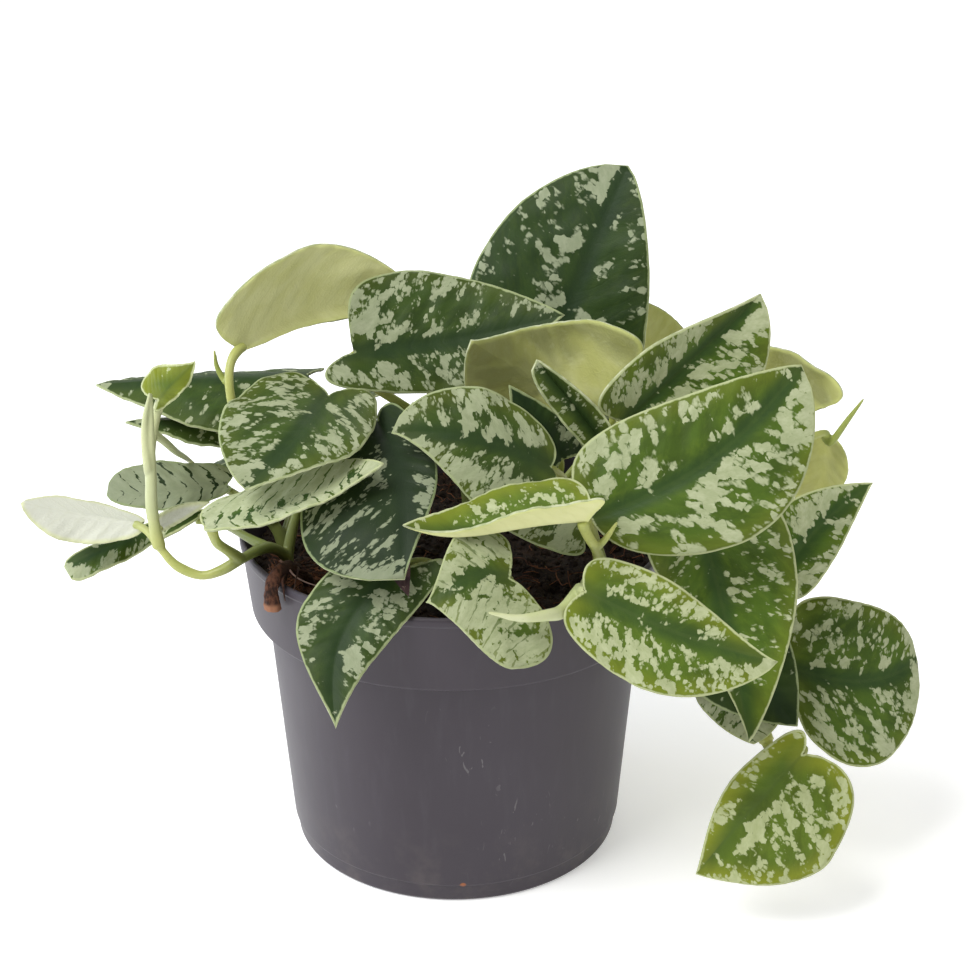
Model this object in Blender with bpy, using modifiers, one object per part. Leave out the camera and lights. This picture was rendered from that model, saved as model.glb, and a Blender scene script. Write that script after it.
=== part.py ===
"""A potted satin pothos: leafy cuttings in a 12 cm nursery pot.

Metres, +Z up. The origin is on the pot's axis, at the plane it stands on, and -Y is the front.
Sizes below are in millimetres and are turned into metres when a mesh is made.
Run with: blender --background --python part.py
"""

import math

import bmesh
import bpy
import numpy as np

MM = 0.001

# The pot: a thin moulded shell with a stepped collar.
RIM_RADIUS = 60.0
POT_HEIGHT = 95.0
COLLAR_HEIGHT = 22.6
COLLAR_TAPER = 2.4
COLLAR_STEP = 4.4
BASE_RADIUS = 47.4
WALL = 1.4
FLOOR = 2.4
FOOT_HEIGHT = 6.0
FOOT_INSET = 0.6
POT_STEPS = 48
DRAIN_HOLES = 6
DRAIN_RADIUS = 3.6
DRAIN_CIRCLE = 27.0
DRAIN_TURN = 0.2
RECESS = 0.9
RECESS_INNER = 18.0
RECESS_OUTER = 36.0

# The soil fills the pot to a little under the rim.
SOIL_EDGE = 86.0
SOIL_RISE = 3.0
SOIL_LUMP = 0.7
SOIL_STEPS = 36
GAP = 0.45
HOLE_SIDES = 12
STEM_FOOT = 80.0

# Blades and the petioles that carry them.
BLADE_THICK = 0.75
BLADE_ROWS = 9
BLADE_COLUMNS = 2
SEAT_GAP = 0.3
SEAT_IN = 1.5
PETIOLE_POINTS = 8
STEM_PITCH = 5.0
SHOOT_PITCH = 3.0
SHOOT_TIP = 0.35

GREEN = (0.055, 0.115, 0.040, 1)
DARK_GREEN = (0.028, 0.070, 0.032, 1)
LIGHT_GREEN = (0.160, 0.230, 0.060, 1)
UNDERSIDE = (0.420, 0.440, 0.180, 1)
SILVER = (0.300, 0.350, 0.240, 1)
WHITE_GREEN = (0.640, 0.650, 0.480, 1)
DRY = (0.080, 0.045, 0.045, 1)


def unit(vector):
    vector = np.asarray(vector, float)
    return vector / np.linalg.norm(vector)


def start_scene():
    """Clear the scene and make the two collections."""
    for thing in list(bpy.data.objects):
        bpy.data.objects.remove(thing, do_unlink=True)
    shown = bpy.data.collections.new("potted_satin_pothos")
    hidden = bpy.data.collections.new("cutters")
    hidden.hide_render = True
    for collection in (shown, hidden):
        bpy.context.scene.collection.children.link(collection)
    return shown, hidden


PLANT, CUTTERS = start_scene()


def material(name, colour, roughness):
    """A plain finish for one part."""
    made = bpy.data.materials.new(name)
    made.use_nodes = True
    shader = made.node_tree.nodes["Principled BSDF"]
    shader.inputs["Base Color"].default_value = colour
    shader.inputs["Roughness"].default_value = roughness
    made.diffuse_color = colour
    return made


def mesh_object(name, points, faces, collection=PLANT):
    """An object from points in millimetres and its faces."""
    mesh = bpy.data.meshes.new(name)
    mesh.from_pydata([tuple(float(v) * MM for v in p) for p in points], [], [tuple(int(i) for i in f) for f in faces])
    mesh.update()
    made = bpy.data.objects.new(name, mesh)
    collection.objects.link(made)
    return made


def cylinder(name, radius, low, high, x=0.0, y=0.0, sides=20, collection=CUTTERS):
    """A plain upright cylinder."""
    mesh = bpy.data.meshes.new(name)
    work = bmesh.new()
    bmesh.ops.create_cone(work, cap_ends=True, segments=sides, radius1=radius * MM, radius2=radius * MM,
                          depth=(high - low) * MM)
    work.to_mesh(mesh)
    work.free()
    made = bpy.data.objects.new(name, mesh)
    made.location = (x * MM, y * MM, (low + high) / 2 * MM)
    collection.objects.link(made)
    made.hide_render = True
    made.display_type = "WIRE"
    return made


def cut(target, cutter):
    hole = target.modifiers.new("cut_" + cutter.name, "BOOLEAN")
    hole.operation = "DIFFERENCE"
    hole.solver = "EXACT"
    hole.object = cutter


def collar_radius(z):
    """Outer radius of the collar at a height."""
    return RIM_RADIUS - COLLAR_TAPER * (POT_HEIGHT - z) / COLLAR_HEIGHT


def body_radius(z):
    """Outer radius of the tapered body under the collar."""
    top = POT_HEIGHT - COLLAR_HEIGHT
    top_radius = RIM_RADIUS - COLLAR_TAPER - COLLAR_STEP
    return BASE_RADIUS + (top_radius - BASE_RADIUS) * z / top


def make_pot():
    """The pot's half profile, turned round its axis, with a ring of drain holes in the floor."""
    step = POT_HEIGHT - COLLAR_HEIGHT
    inside = [
        (0, FLOOR),
        (body_radius(FLOOR) - WALL, FLOOR),
        (body_radius(step) - WALL, step + 0.8),
        (collar_radius(step) - WALL, step + 1.6),
        (RIM_RADIUS - WALL, POT_HEIGHT - 1.0),
        (RIM_RADIUS - WALL + 0.4, POT_HEIGHT),
    ]
    outside = [
        (RIM_RADIUS - 0.4, POT_HEIGHT),
        (RIM_RADIUS + 0.2, POT_HEIGHT - 0.7),
        (RIM_RADIUS + 0.2, POT_HEIGHT - 2.2),
        (collar_radius(POT_HEIGHT - 2.8), POT_HEIGHT - 2.8),
        (collar_radius(step), step + 0.6),
        (collar_radius(step) - 0.6, step),
        (body_radius(step), step - 0.3),
        (body_radius(FOOT_HEIGHT), FOOT_HEIGHT),
        (body_radius(FOOT_HEIGHT) - FOOT_INSET, FOOT_HEIGHT - 0.5),
        (BASE_RADIUS - FOOT_INSET, 0.8),
        (BASE_RADIUS - FOOT_INSET - 0.8, 0),
        (RECESS_OUTER, 0),
        (RECESS_OUTER - RECESS, RECESS),
        (RECESS_INNER + RECESS, RECESS),
        (RECESS_INNER, 0),
        (0, 0),
    ]
    profile = inside + outside
    mesh = bpy.data.meshes.new("pot")
    mesh.from_pydata([(r * MM, 0, z * MM) for r, z in profile], [(i, i + 1) for i in range(len(profile) - 1)], [])
    pot = bpy.data.objects.new("pot", mesh)
    PLANT.objects.link(pot)
    turn = pot.modifiers.new("turn", "SCREW")
    turn.steps = turn.render_steps = POT_STEPS
    turn.use_merge_vertices = True
    turn.merge_threshold = 0.00001
    for k in range(DRAIN_HOLES):
        angle = DRAIN_TURN + 2 * math.pi * k / DRAIN_HOLES
        x, y = DRAIN_CIRCLE * math.cos(angle), DRAIN_CIRCLE * math.sin(angle)
        cut(pot, cylinder(f"drain_{k + 1}", DRAIN_RADIUS, -2, FLOOR + 2, x, y, 12))
    pot.data.materials.append(material("taupe_plastic", (0.090, 0.078, 0.088, 1), 0.45))


def soil_height(r, angle):
    """The soil's lumpy top: highest in the middle, level with SOIL_EDGE at the pot."""
    share = r / (RIM_RADIUS - WALL)
    lump = math.sin(3 * angle + 4 * share) * math.cos(5 * angle - 7 * share) * share * (1 - share) * 4
    return SOIL_EDGE + SOIL_RISE * (1 - share ** 2) + SOIL_LUMP * lump


def make_soil(holes):
    """The filling: a plug that follows the pot's inside, with a plain hole for each stem and root."""
    step = POT_HEIGHT - COLLAR_HEIGHT
    low, high = FLOOR + GAP, step + 1.6 + GAP
    floor_radius = body_radius(FLOOR) - WALL - GAP
    waist_radius = body_radius(step) - WALL - GAP
    ledge_radius = collar_radius(step) - WALL - GAP
    edge_radius = collar_radius(SOIL_EDGE) - WALL - GAP
    top_radii = [edge_radius * share for share in (0.97, 0.84, 0.68, 0.5, 0.32, 0.15)]
    rings = [(floor_radius, low), (waist_radius, high - 0.8), (ledge_radius, high), (edge_radius, SOIL_EDGE - 1.2)]
    points = []
    for radius, z in rings:
        for k in range(SOIL_STEPS):
            angle = 2 * math.pi * k / SOIL_STEPS
            points.append((radius * math.cos(angle), radius * math.sin(angle), z))
    for radius in top_radii:
        for k in range(SOIL_STEPS):
            angle = 2 * math.pi * k / SOIL_STEPS
            points.append((radius * math.cos(angle), radius * math.sin(angle), soil_height(radius, angle)))
    count = len(rings) + len(top_radii)
    faces = []
    for i in range(count - 1):
        for k in range(SOIL_STEPS):
            a, b = i * SOIL_STEPS + k, i * SOIL_STEPS + (k + 1) % SOIL_STEPS
            faces += [(a, b, b + SOIL_STEPS), (a, b + SOIL_STEPS, a + SOIL_STEPS)]
    points.append((0, 0, soil_height(0, 0)))
    last = (count - 1) * SOIL_STEPS
    for k in range(SOIL_STEPS):
        faces.append((last + k, last + (k + 1) % SOIL_STEPS, len(points) - 1))
    faces.append(tuple(reversed(range(SOIL_STEPS))))
    soil = mesh_object("soil", points, faces)
    for k, (x, y, radius) in enumerate(holes):
        cut(soil, cylinder(f"stem_hole_{k + 1}", radius + GAP, STEM_FOOT - GAP, POT_HEIGHT + 5, x, y, HOLE_SIDES))
    soil.data.materials.append(material("peat", (0.016, 0.010, 0.007, 1), 0.95))


# A leaf's values. base is where the petiole meets the blade and tip is its point. face is the way the
# upper side looks. left and right are the widest reach of each half from the midrib, and lobes is how far
# each half runs back past the base. bow lifts the midrib, sway bends it sideways, fold tilts each half up
# from the midrib, open lets the fold out towards the tip, curl turns the margins, and swell and taper
# are the powers that round the outline off at the base and at the tip. meet is how far the petiole turns
# to run along the blade before it ends under it.
BLADE = dict(left=16, right=16, lobes=(6, 6), bow=3, bow_at=0.5, sway=0, fold=(8, 8), open=0, curl=(-20, -20),
             swell=(0.9, 0.9), taper=(0.95, 0.95), wave=0.6, meet=0.6, colour=GREEN)

LEAVES = {
    "leaf_left_high": dict(
        base=(-59, 2.5, 146.5), tip=(-7.5, 25, 151.5), face=(-0.22, 0.97, -0.07), left=4.5, right=20.5,
        lobes=(3.5, 10), bow=7.5, sway=-3.5, fold=(-5, -5), curl=(-25, -25), swell=(1.09, 1.17),
        taper=(0.5, 0.86), colour=UNDERSIDE),
    "leaf_back_heart": dict(
        base=(-27, 2, 145), tip=(30.5, 8.5, 153.5), face=(0, -0.76, 0.65), left=23, right=14, lobes=(2, 14),
        bow=-3.5, sway=-0.5, swell=(0.74, 1.4), taper=(0.94, 1.12), colour=DARK_GREEN),
    "leaf_top": dict(
        base=(21.5, 27.5, 118.5), tip=(49, 41.5, 186.5), face=(-0.28, -0.85, 0.44), left=31.5, right=26,
        lobes=(5, 5), sway=-0.5, swell=(0.93, 0.52), taper=(0.66, 0.73), colour=DARK_GREEN),
    "leaf_back_small": dict(
        base=(60, 44, 121), tip=(52, 50, 144), face=(0.1, 0.9, 0.4), left=12, right=13, lobes=(4, 4), bow=2,
        taper=(0.8, 0.8), colour=UNDERSIDE),
    "leaf_centre_under": dict(
        base=(42.5, -4, 132.5), tip=(5, -10.5, 153), face=(0, 0.99, 0.1), left=23, right=22, lobes=(3.5, 4),
        bow=8, sway=-5.5, swell=(0.92, 0.94), taper=(1.3, 0.69), colour=UNDERSIDE),
    "leaf_centre_folded": dict(
        base=(40.5, -22, 127.5), tip=(22.2, -24.5, 152.6), face=(0.04, -0.99, 0.1), left=6, right=6,
        lobes=(4, 1.5), bow=-2, fold=(45, 45), swell=(0.45, 0.72), taper=(0.25, 0.9), colour=DARK_GREEN),
    "leaf_centre_shaded": dict(
        base=(29.5, -15, 120.5), tip=(15, -15, 142), face=(0.15, -0.95, 0.25), left=8, right=7, lobes=(3, 4.5),
        bow=2, swell=(0.7, 0.6), colour=DARK_GREEN),
    "leaf_right_high": dict(
        base=(46, -13, 130.5), tip=(83, 3, 161.5), face=(0.24, -0.81, 0.53), left=14, right=21, lobes=(7, 5),
        bow=0.5, fold=(48, 0), swell=(0.84, 1.01), taper=(1.2, 0.67)),
    "leaf_right_under": dict(
        base=(97.5, 11.5, 123), tip=(71.5, 21, 140), face=(-0.18, 0.94, 0.3), left=15.5, right=14, lobes=(9, 7),
        bow=2, sway=-2.5, swell=(0.93, 0.9), taper=(0.98, 0.95), colour=UNDERSIDE),
    "leaf_right_large": dict(
        base=(36.5, -41, 114.5), tip=(91, -24, 151), face=(-0.02, -0.86, 0.5), left=21, right=23,
        lobes=(0.5, 3), bow=4.5, sway=-6, swell=(0.76, 1.08), taper=(0.89, 0.58)),
    "leaf_front_folded": dict(
        base=(34.6, -59.7, 122.9), tip=(-12, -57.7, 120.6), face=(0, -0.25, 0.98), left=7.4, right=15.5,
        lobes=(8, 3), bow=-4, bow_at=0.7, fold=(88, 20), open=0.15, swell=(0.8, 0.9), taper=(1.5, 0.9), meet=0.15,
        colour=LIGHT_GREEN),
    "leaf_centre": dict(
        base=(26, -32, 125.5), tip=(-15.5, -34.5, 136), face=(0.05, -0.8, 0.6), left=21.5, right=13.5,
        lobes=(17, 3), bow=4, sway=-2.5, swell=(0.9, 1.03), taper=(1.4, 0.5)),
    "leaf_left_heart": dict(
        base=(-33, -15, 139), tip=(-51.5, -52, 127.5), face=(-0.12, -0.59, 0.8), left=17, right=22.5,
        lobes=(11, 8), bow=4, sway=3, swell=(1.29, 1.05), taper=(1.11, 0.74)),
    "leaf_left_front": dict(
        base=(-63.5, -45.5, 114.5), tip=(-17, -44, 131.5), face=(0, -0.21, 0.98), left=14.5, right=4.5,
        lobes=(4, 2.5), bow=-1, sway=-2, swell=(1.17, 1.06), taper=(0.83, 0.79), meet=0.2, colour=SILVER),
    "leaf_centre_hanging": dict(
        base=(-20, -18, 133), tip=(-11.5, -63, 108), face=(-0.05, -0.86, 0.51), left=10, right=28, lobes=(9, 5),
        bow=2.5, sway=4, swell=(1.4, 1.38), taper=(1.4, 0.54), colour=DARK_GREEN),
    "leaf_front_left": dict(
        base=(-16, -52.5, 105), tip=(-28.5, -82, 76), face=(-0.18, -0.89, 0.42), left=13, right=14,
        lobes=(10.5, 6.5), bow=-2, bow_at=0.4, sway=-6.5, swell=(0.7, 1.09), taper=(1.06, 1.3), colour=DARK_GREEN),
    "leaf_front_centre": dict(
        base=(15, -59.5, 106.5), tip=(-6, -68, 104), face=(-0.16, -0.8, 0.58), left=25, right=14, lobes=(8, 5),
        bow=2, sway=-2.5, swell=(1.4, 1.05), taper=(1.36, 1.4), colour=SILVER),
    "leaf_front_right": dict(
        base=(34, -61.5, 104), tip=(83, -67.5, 87), face=(0.04, -0.87, 0.5), left=12, right=16.5,
        lobes=(5.5, 7), bow=1, sway=-2, swell=(1.24, 1.03), taper=(1.38, 0.73)),
    "leaf_right_hanging": dict(
        base=(66, -34, 109), tip=(78.5, -56, 56.5), face=(-0.16, -0.92, 0.35), left=22, right=16, lobes=(6, 4),
        bow=-5, sway=0.5, swell=(0.5, 0.5), taper=(0.84, 1.4)),
    "leaf_right_side": dict(
        base=(89, -12, 81), tip=(116.5, -2, 108), face=(0.18, -0.84, 0.52), left=11.5, right=10, lobes=(4, 1.5),
        bow=2, sway=2.5, swell=(1.03, 0.87), taper=(0.92, 1.08), colour=DARK_GREEN),
    "leaf_right_small": dict(
        base=(105, 11.5, 117.5), tip=(98, 15, 90), face=(0.22, 0.93, 0.31), left=6.5, right=7.5, lobes=(0, 0),
        bow=-0.5, sway=-2.5, swell=(1.01, 1.07), taper=(0.92, 0.86), colour=UNDERSIDE),
    "leaf_right_round": dict(
        base=(93.5, -23, 61), tip=(131, -12, 57), face=(0.19, -0.76, 0.63), left=24, right=24, lobes=(0, 2),
        bow=4, sway=-5.5, swell=(0.59, 0.64), taper=(0.5, 0.5), colour=DARK_GREEN),
    "leaf_right_inner": dict(
        base=(69, -24, 77), tip=(94, -38, 51), face=(0, -0.9, 0.4), left=15, right=15, lobes=(4, 4), bow=2,
        colour=DARK_GREEN),
    "leaf_right_shaded": dict(
        base=(77, -18, 66), tip=(83, -34, 43), face=(-0.3, -0.9, 0.3), left=14, right=13, lobes=(4, 4), bow=2,
        taper=(0.6, 0.85), colour=DARK_GREEN),
    "leaf_right_lowest": dict(
        base=(93.5, -52, 50.5), tip=(65.5, -60, 18), face=(0.03, -0.89, 0.46), left=25, right=9.5,
        lobes=(7.5, 8.5), bow=1.5, sway=-0.5, swell=(1.29, 1.37), taper=(0.94, 1.18), colour=LIGHT_GREEN),
    "leaf_far_left_rolled": dict(
        base=(-85, -18.5, 103), tip=(-116.5, -20.5, 110), face=(-0.06, 0.99, -0.14), left=11, right=8,
        lobes=(3, 3), bow=2, sway=-1, fold=(95, 0), swell=(1.02, 1.4), taper=(0.5, 0.68), colour=WHITE_GREEN),
    "leaf_far_left_low": dict(
        base=(-71.5, -1, 97.5), tip=(-109, -8.5, 85), face=(0, -0.51, 0.86), left=7, right=3, lobes=(1, 6.5),
        bow=2, swell=(1.3, 0.95), taper=(0.25, 0.32), colour=DARK_GREEN),
    "leaf_left_pale": dict(
        base=(-81, -20, 102.5), tip=(-66.5, -14, 107.5), face=(-0.2, 0.97, 0.1), left=2.5, right=3, lobes=(1, 1),
        bow=1, wave=0.1, colour=WHITE_GREEN),
    "leaf_left_silver": dict(
        base=(-64.5, 6, 104), tip=(-97, -1, 103.5), face=(0, -0.57, 0.82), left=5, right=11, lobes=(3.5, 5),
        sway=3, swell=(0.9, 1.19), taper=(0.51, 0.5), colour=SILVER),
    "leaf_left_long": dict(
        base=(-41.5, 20, 132), tip=(-101, 16, 130), face=(0, -0.1, 1), left=20.5, right=17.5, lobes=(5, 9),
        bow=2, sway=3, fold=(-22, -14), swell=(0.63, 1), taper=(0.94, 0.8), colour=DARK_GREEN),
    "leaf_left_under": dict(
        base=(-52, 14, 116), tip=(-92, 8, 122), face=(0, -0.1, 1), left=8, right=10, lobes=(4, 4), bow=2,
        fold=(-25, -14), colour=DARK_GREEN),
    "leaf_left_new": dict(
        base=(-78, -18, 139), tip=(-67.5, -18.5, 150), face=(0.01, -0.88, 0.48), left=7.8, right=3.5,
        lobes=(4, 5), sway=-0.5, fold=(-10, -8), swell=(1.2, 1.3), taper=(1.4, 0.77), colour=LIGHT_GREEN),
    "leaf_scrap_dry": dict(
        base=(-12.2, -55.3, 109.8), tip=(-10.7, -59, 101.2), face=(0.1, -0.95, 0.35), left=1.6, right=4,
        lobes=(0.5, 0.8), bow=0.3, fold=(10, 15), swell=(0.4, 0.5), wave=0.2, meet=0.1, colour=DRY),
    "leaf_rear_left": dict(
        base=(-30, 50, 112), tip=(-48, 92, 88), face=(-0.3, 0.5, 0.8), left=17, right=17, lobes=(7, 7), bow=4),
    "leaf_rear_centre": dict(
        base=(2, 56, 108), tip=(8, 98, 80), face=(0.1, 0.6, 0.8), left=18, right=17, lobes=(7, 7), bow=4),
    "leaf_rear_right": dict(
        base=(36, 52, 112), tip=(62, 84, 92), face=(0.3, 0.5, 0.8), left=17, right=16, lobes=(7, 7), bow=4),
    "leaf_rear_top": dict(
        base=(-12, 44, 128), tip=(-24, 78, 132), face=(-0.1, 0.2, 0.95), left=15, right=15, bow=4),
    "leaf_rear_hanging": dict(
        base=(18, 70, 86), tip=(26, 90, 44), face=(0.1, 0.9, 0.3), bow=4, colour=DARK_GREEN),
    "leaf_rear_hanging_left": dict(
        base=(-26, 72, 82), tip=(-34, 88, 46), face=(-0.2, 0.9, 0.3), left=13, right=13, lobes=(5, 5),
        colour=DARK_GREEN),
    "leaf_rear_side_right": dict(
        base=(62, 42, 98), tip=(90, 64, 72), face=(0.5, 0.5, 0.6), left=15, right=14, lobes=(5, 5), bow=4),
    "leaf_rear_side_left": dict(
        base=(-58, 36, 98), tip=(-86, 60, 78), face=(-0.5, 0.4, 0.7), left=15, right=14, lobes=(5, 5), bow=4),
}


def margin(t, half, lobe, length, swell, taper):
    """One half's outline: how far along the midrib and how far out, for t from base to tip."""
    along = length * t ** 1.6
    if t < 0.5:
        along -= lobe * math.sin(2 * math.pi * t)
    peak = swell / (swell + taper)
    out = t ** swell * (1 - t) ** taper / (peak ** swell * (1 - peak) ** taper)
    return along, half * out


def across(y, half, fold, curl):
    """Where a point y from the midrib goes once its half is tilted by fold and curled by curl."""
    start, turn = math.radians(fold), math.radians(curl)
    end = start + turn * y / half
    return half * (math.sin(end) - math.sin(start)) / turn, half * (math.cos(start) - math.cos(end)) / turn


def blade_axes(leaf):
    """A blade's own directions: along the midrib, out to its left side and up from its face."""
    base, tip = np.array(leaf["base"], float), np.array(leaf["tip"], float)
    ahead = unit(tip - base)
    face = np.array(leaf["face"], float)
    face = unit(face - (face @ ahead) * ahead)
    return base, ahead, np.cross(face, ahead), face, float(np.linalg.norm(tip - base))


def blade_point(leaf, along, out, side):
    """A point of the blade, from its place on the flat outline."""
    base, ahead, left, face, length = blade_axes(leaf)
    which = 0 if side > 0 else 1
    half = leaf["left"] if side > 0 else leaf["right"]
    share = along / length
    inner = min(max(share, 0.0), 1.0)
    if share > 0:
        lift = leaf["bow"] * math.sin(math.pi * inner ** (math.log(0.5) / math.log(leaf["bow_at"])))
        sway = leaf["sway"] * math.sin(math.pi * inner)
    else:
        lift = leaf["bow"] * math.pi * share * 0.6
        sway = leaf["sway"] * math.pi * share * 0.6
    outward, up = across(out, half, leaf["fold"][which] * (1 - leaf["open"] * inner), leaf["curl"][which])
    turns = 2.5 * share + (0.37 if side > 0 else 0.0)
    ripple = leaf["wave"] * (out / half) ** 2 * math.sin(2 * math.pi * turns)
    return base + ahead * along + left * (side * outward + sway) + face * (lift + up + ripple)


def make_blade(name):
    """One blade: an open surface, split into triangles, that Solidify makes a thin closed body."""
    leaf = {**BLADE, **LEAVES[name]}
    length = blade_axes(leaf)[4]
    points, rows = [], []
    for k in range(BLADE_ROWS + 1):
        t = k / BLADE_ROWS
        rib = length * t ** 2.1
        row = []
        for column in range(-BLADE_COLUMNS, BLADE_COLUMNS + 1):
            if k in (0, BLADE_ROWS) and row:
                row.append(row[0])
                continue
            side = 1 if column >= 0 else -1
            which = 0 if side > 0 else 1
            half = leaf["left"] if side > 0 else leaf["right"]
            edge, out = margin(t, half, leaf["lobes"][which], length, leaf["swell"][which], leaf["taper"][which])
            share = 0 if k in (0, BLADE_ROWS) else abs(column) / BLADE_COLUMNS
            points.append(blade_point(leaf, rib + (edge - rib) * share, out * share, side))
            row.append(len(points) - 1)
        rows.append(row)
    faces = []
    for near, far in zip(rows[:-1], rows[1:]):
        for column in range(2 * BLADE_COLUMNS):
            a, b, c, d = near[column], far[column], far[column + 1], near[column + 1]
            pair = [(a, b, c), (a, c, d)] if column < BLADE_COLUMNS else [(a, b, d), (b, c, d)]
            faces += [face for face in pair if len(set(face)) == 3]
    blade = mesh_object(name, points, faces)
    wall = blade.modifiers.new("thickness", "SOLIDIFY")
    wall.thickness = BLADE_THICK * MM
    wall.offset = 0
    blade.data.materials.append(material(name + "_green", leaf["colour"], 0.5))
    blade.data.shade_smooth()


# A stem's path runs up out of its hole in the soil, and thins to the radius thin where that is given. Each
# petiole gives the blade it carries, the point of the path that it leaves from, its radius and the way it
# sets off. A shoot is a pointed sheath: it starts part of the way along a petiole and runs through its own
# points.
STEMS = {
    "vine_left": dict(
        radius=1.7, thin=1.2,
        path=[(-46, -14, 80), (-46, -14, 90), (-50.5, -21, 97), (-57, -30, 97.6), (-62, -31.5, 95.2),
              (-67.5, -32, 94), (-74, -31, 96.5), (-78.5, -29, 101)],
        petioles=[("leaf_left_front", 3, 1.5, (-0.4, -0.3, 0.6)), ("leaf_left_heart", 1, 1.4, (0.1, 0.3, 1)),
                  ("leaf_far_left_low", 2, 1.3, (-0.7, 0.3, 0.2)), ("leaf_far_left_rolled", 7, 1.2, (-0.3, 0.3, 0.3)),
                  ("leaf_left_pale", 7, 1.1, (0, 1, 0.3)), ("leaf_left_new", 7, 1.5, (-0.2, 0, 1))],
        shoots=[("leaf_left_new", 0.4, 1.3, [(-80.6, -25.6, 122), (-81.2, -24.2, 129), (-81, -22.8, 135.5),
                                             (-79.6, -20.8, 142)])]),
    "vine_back_left": dict(
        radius=1.8,
        path=[(-48, -5, 80), (-48, -5, 90), (-50.5, -4.5, 96.5), (-55.5, -3.5, 100.5)],
        petioles=[("leaf_left_silver", 3, 1.3, (-0.4, 0.8, -0.1)), ("leaf_left_under", 2, 1.2, (0, 0.6, 1)),
                  ("leaf_left_long", 1, 1.3, (0.2, 0.7, 1)), ("leaf_left_high", 2, 1.4, (-0.2, -0.3, 1))],
        shoots=[("leaf_left_high", 0.75, 1.2, [(-62, 0, 137), (-64.5, 1, 141), (-65, 1, 146)])]),
    "vine_back": dict(
        radius=2.0,
        path=[(4, 16, 80), (4, 16, 92), (2, 18, 106)],
        petioles=[("leaf_back_heart", 2, 1.5, (-0.4, -0.1, 1)), ("leaf_top", 1, 1.6, (0.6, 0.2, 1)),
                  ("leaf_rear_top", 2, 1.3, (-0.1, 0.6, 0.6))]),
    "vine_middle": dict(
        radius=1.8,
        path=[(-14, -8, 80), (-14, -8, 92), (-15, -10, 102)],
        petioles=[("leaf_centre_hanging", 2, 1.3, (-0.1, 0.2, 1))]),
    "vine_centre": dict(
        radius=2.0,
        path=[(24, 2, 80), (24, 2, 92), (28, -3, 102)],
        petioles=[("leaf_centre", 1, 1.4, (0.3, -0.6, 1)), ("leaf_centre_under", 2, 1.3, (0.3, 1, 1)),
                  ("leaf_centre_folded", 2, 1.1, (0.4, -0.3, 1)),
                  ("leaf_centre_shaded", 2, 1, (0, -0.4, 1))]),
    "vine_front": dict(
        radius=2.4,
        path=[(38, -33, 80), (38, -33, 91), (39.5, -41, 98), (38.5, -47, 104)],
        petioles=[("leaf_front_folded", 3, 1.5, (-0.1, -0.4, 1)), ("leaf_right_large", 2, 1.5, (0.2, 0.4, 1))],
        shoots=[("leaf_front_folded", 0.35, 1, [(39.5, -54.5, 115.5), (42, -57, 121)])]),
    "vine_right": dict(
        radius=2.1,
        path=[(46, 4, 80), (46, 4, 91), (55.5, -4, 99.5), (67, -12, 97), (76, -12, 88), (80, -12, 74), (82, -12, 60),
              (84, -16, 47), (88, -24, 38)],
        petioles=[("leaf_right_high", 1, 1.4, (0.1, -0.1, 1)), ("leaf_right_under", 2, 1.3, (0.6, 0.3, 1)),
                  ("leaf_right_hanging", 2, 1.4, (0.1, -0.6, 0.6)), ("leaf_right_small", 3, 1.2, (0.6, 0.4, 0.8)),
                  ("leaf_right_side", 4, 1.2, (0.4, 0.3, -0.3)), ("leaf_right_round", 6, 1.4, (0.3, 0.4, 0.2)),
                  ("leaf_right_inner", 4, 1.2, (-0.2, -0.1, -0.6)), ("leaf_right_shaded", 4, 1.1, (-0.4, 0.3, -0.8)),
                  ("leaf_right_lowest", 8, 1.4, (0.1, -0.3, -0.2))],
        shoots=[("leaf_right_small", 0.97, 1.1, [(105.5, 7.4, 116), (110, 7.6, 123), (114, 8, 129)])]),
    "vine_front_left": dict(
        radius=1.9,
        path=[(-2, -36, 80), (-2, -36, 92), (-2, -42, 100)],
        petioles=[("leaf_front_left", 2, 1.3, (-0.3, -0.45, 0.8)), ("leaf_front_centre", 1, 1.3, (0.6, -0.5, 0.7)),
                  ("leaf_scrap_dry", 2, 0.7, (-0.5, -0.1, 0.8))]),
    "vine_front_right": dict(
        radius=1.9,
        path=[(34.5, -40, 80), (34.5, -40, 92), (35.5, -46.5, 98.8)],
        petioles=[("leaf_front_right", 2, 1.5, (-0.2, -0.8, 0.1))],
        shoots=[("leaf_front_right", 0.4, 2, [(28.6, -61, 98.2), (24.2, -67.8, 100.3), (17, -73, 102.2),
                                              (9.5, -75, 104.8)])]),
    "vine_rear": dict(
        radius=2.0,
        path=[(6, 36, 80), (6, 36, 92), (4, 46, 99), (2, 57, 100), (0, 66, 92), (0, 70, 84)],
        petioles=[("leaf_rear_centre", 2, 1.4, (0, 0.3, 1)), ("leaf_rear_right", 1, 1.4, (0.6, 0.2, 0.8)),
                  ("leaf_rear_hanging", 4, 1.3, (0.6, 0.1, 0)), ("leaf_rear_hanging_left", 5, 1.2, (-0.8, 0, 0.1))]),
    "vine_rear_left": dict(
        radius=1.9,
        path=[(-30, 30, 80), (-30, 30, 92), (-36, 34, 99)],
        petioles=[("leaf_rear_left", 1, 1.4, (0, 0.4, 1)), ("leaf_rear_side_left", 2, 1.3, (-0.7, 0, 0.4))]),
    "vine_rear_right": dict(
        radius=1.9,
        path=[(42, 26, 80), (42, 26, 92), (48, 31, 99)],
        petioles=[("leaf_rear_side_right", 2, 1.3, (0.6, 0.3, 0.4)), ("leaf_back_small", 2, 1.3, (0.3, 0.3, 0.8))]),
}
STEM_COLOURS = {"vine_front_right": WHITE_GREEN}
STEM_GREEN = (0.330, 0.380, 0.110, 1)

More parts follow.
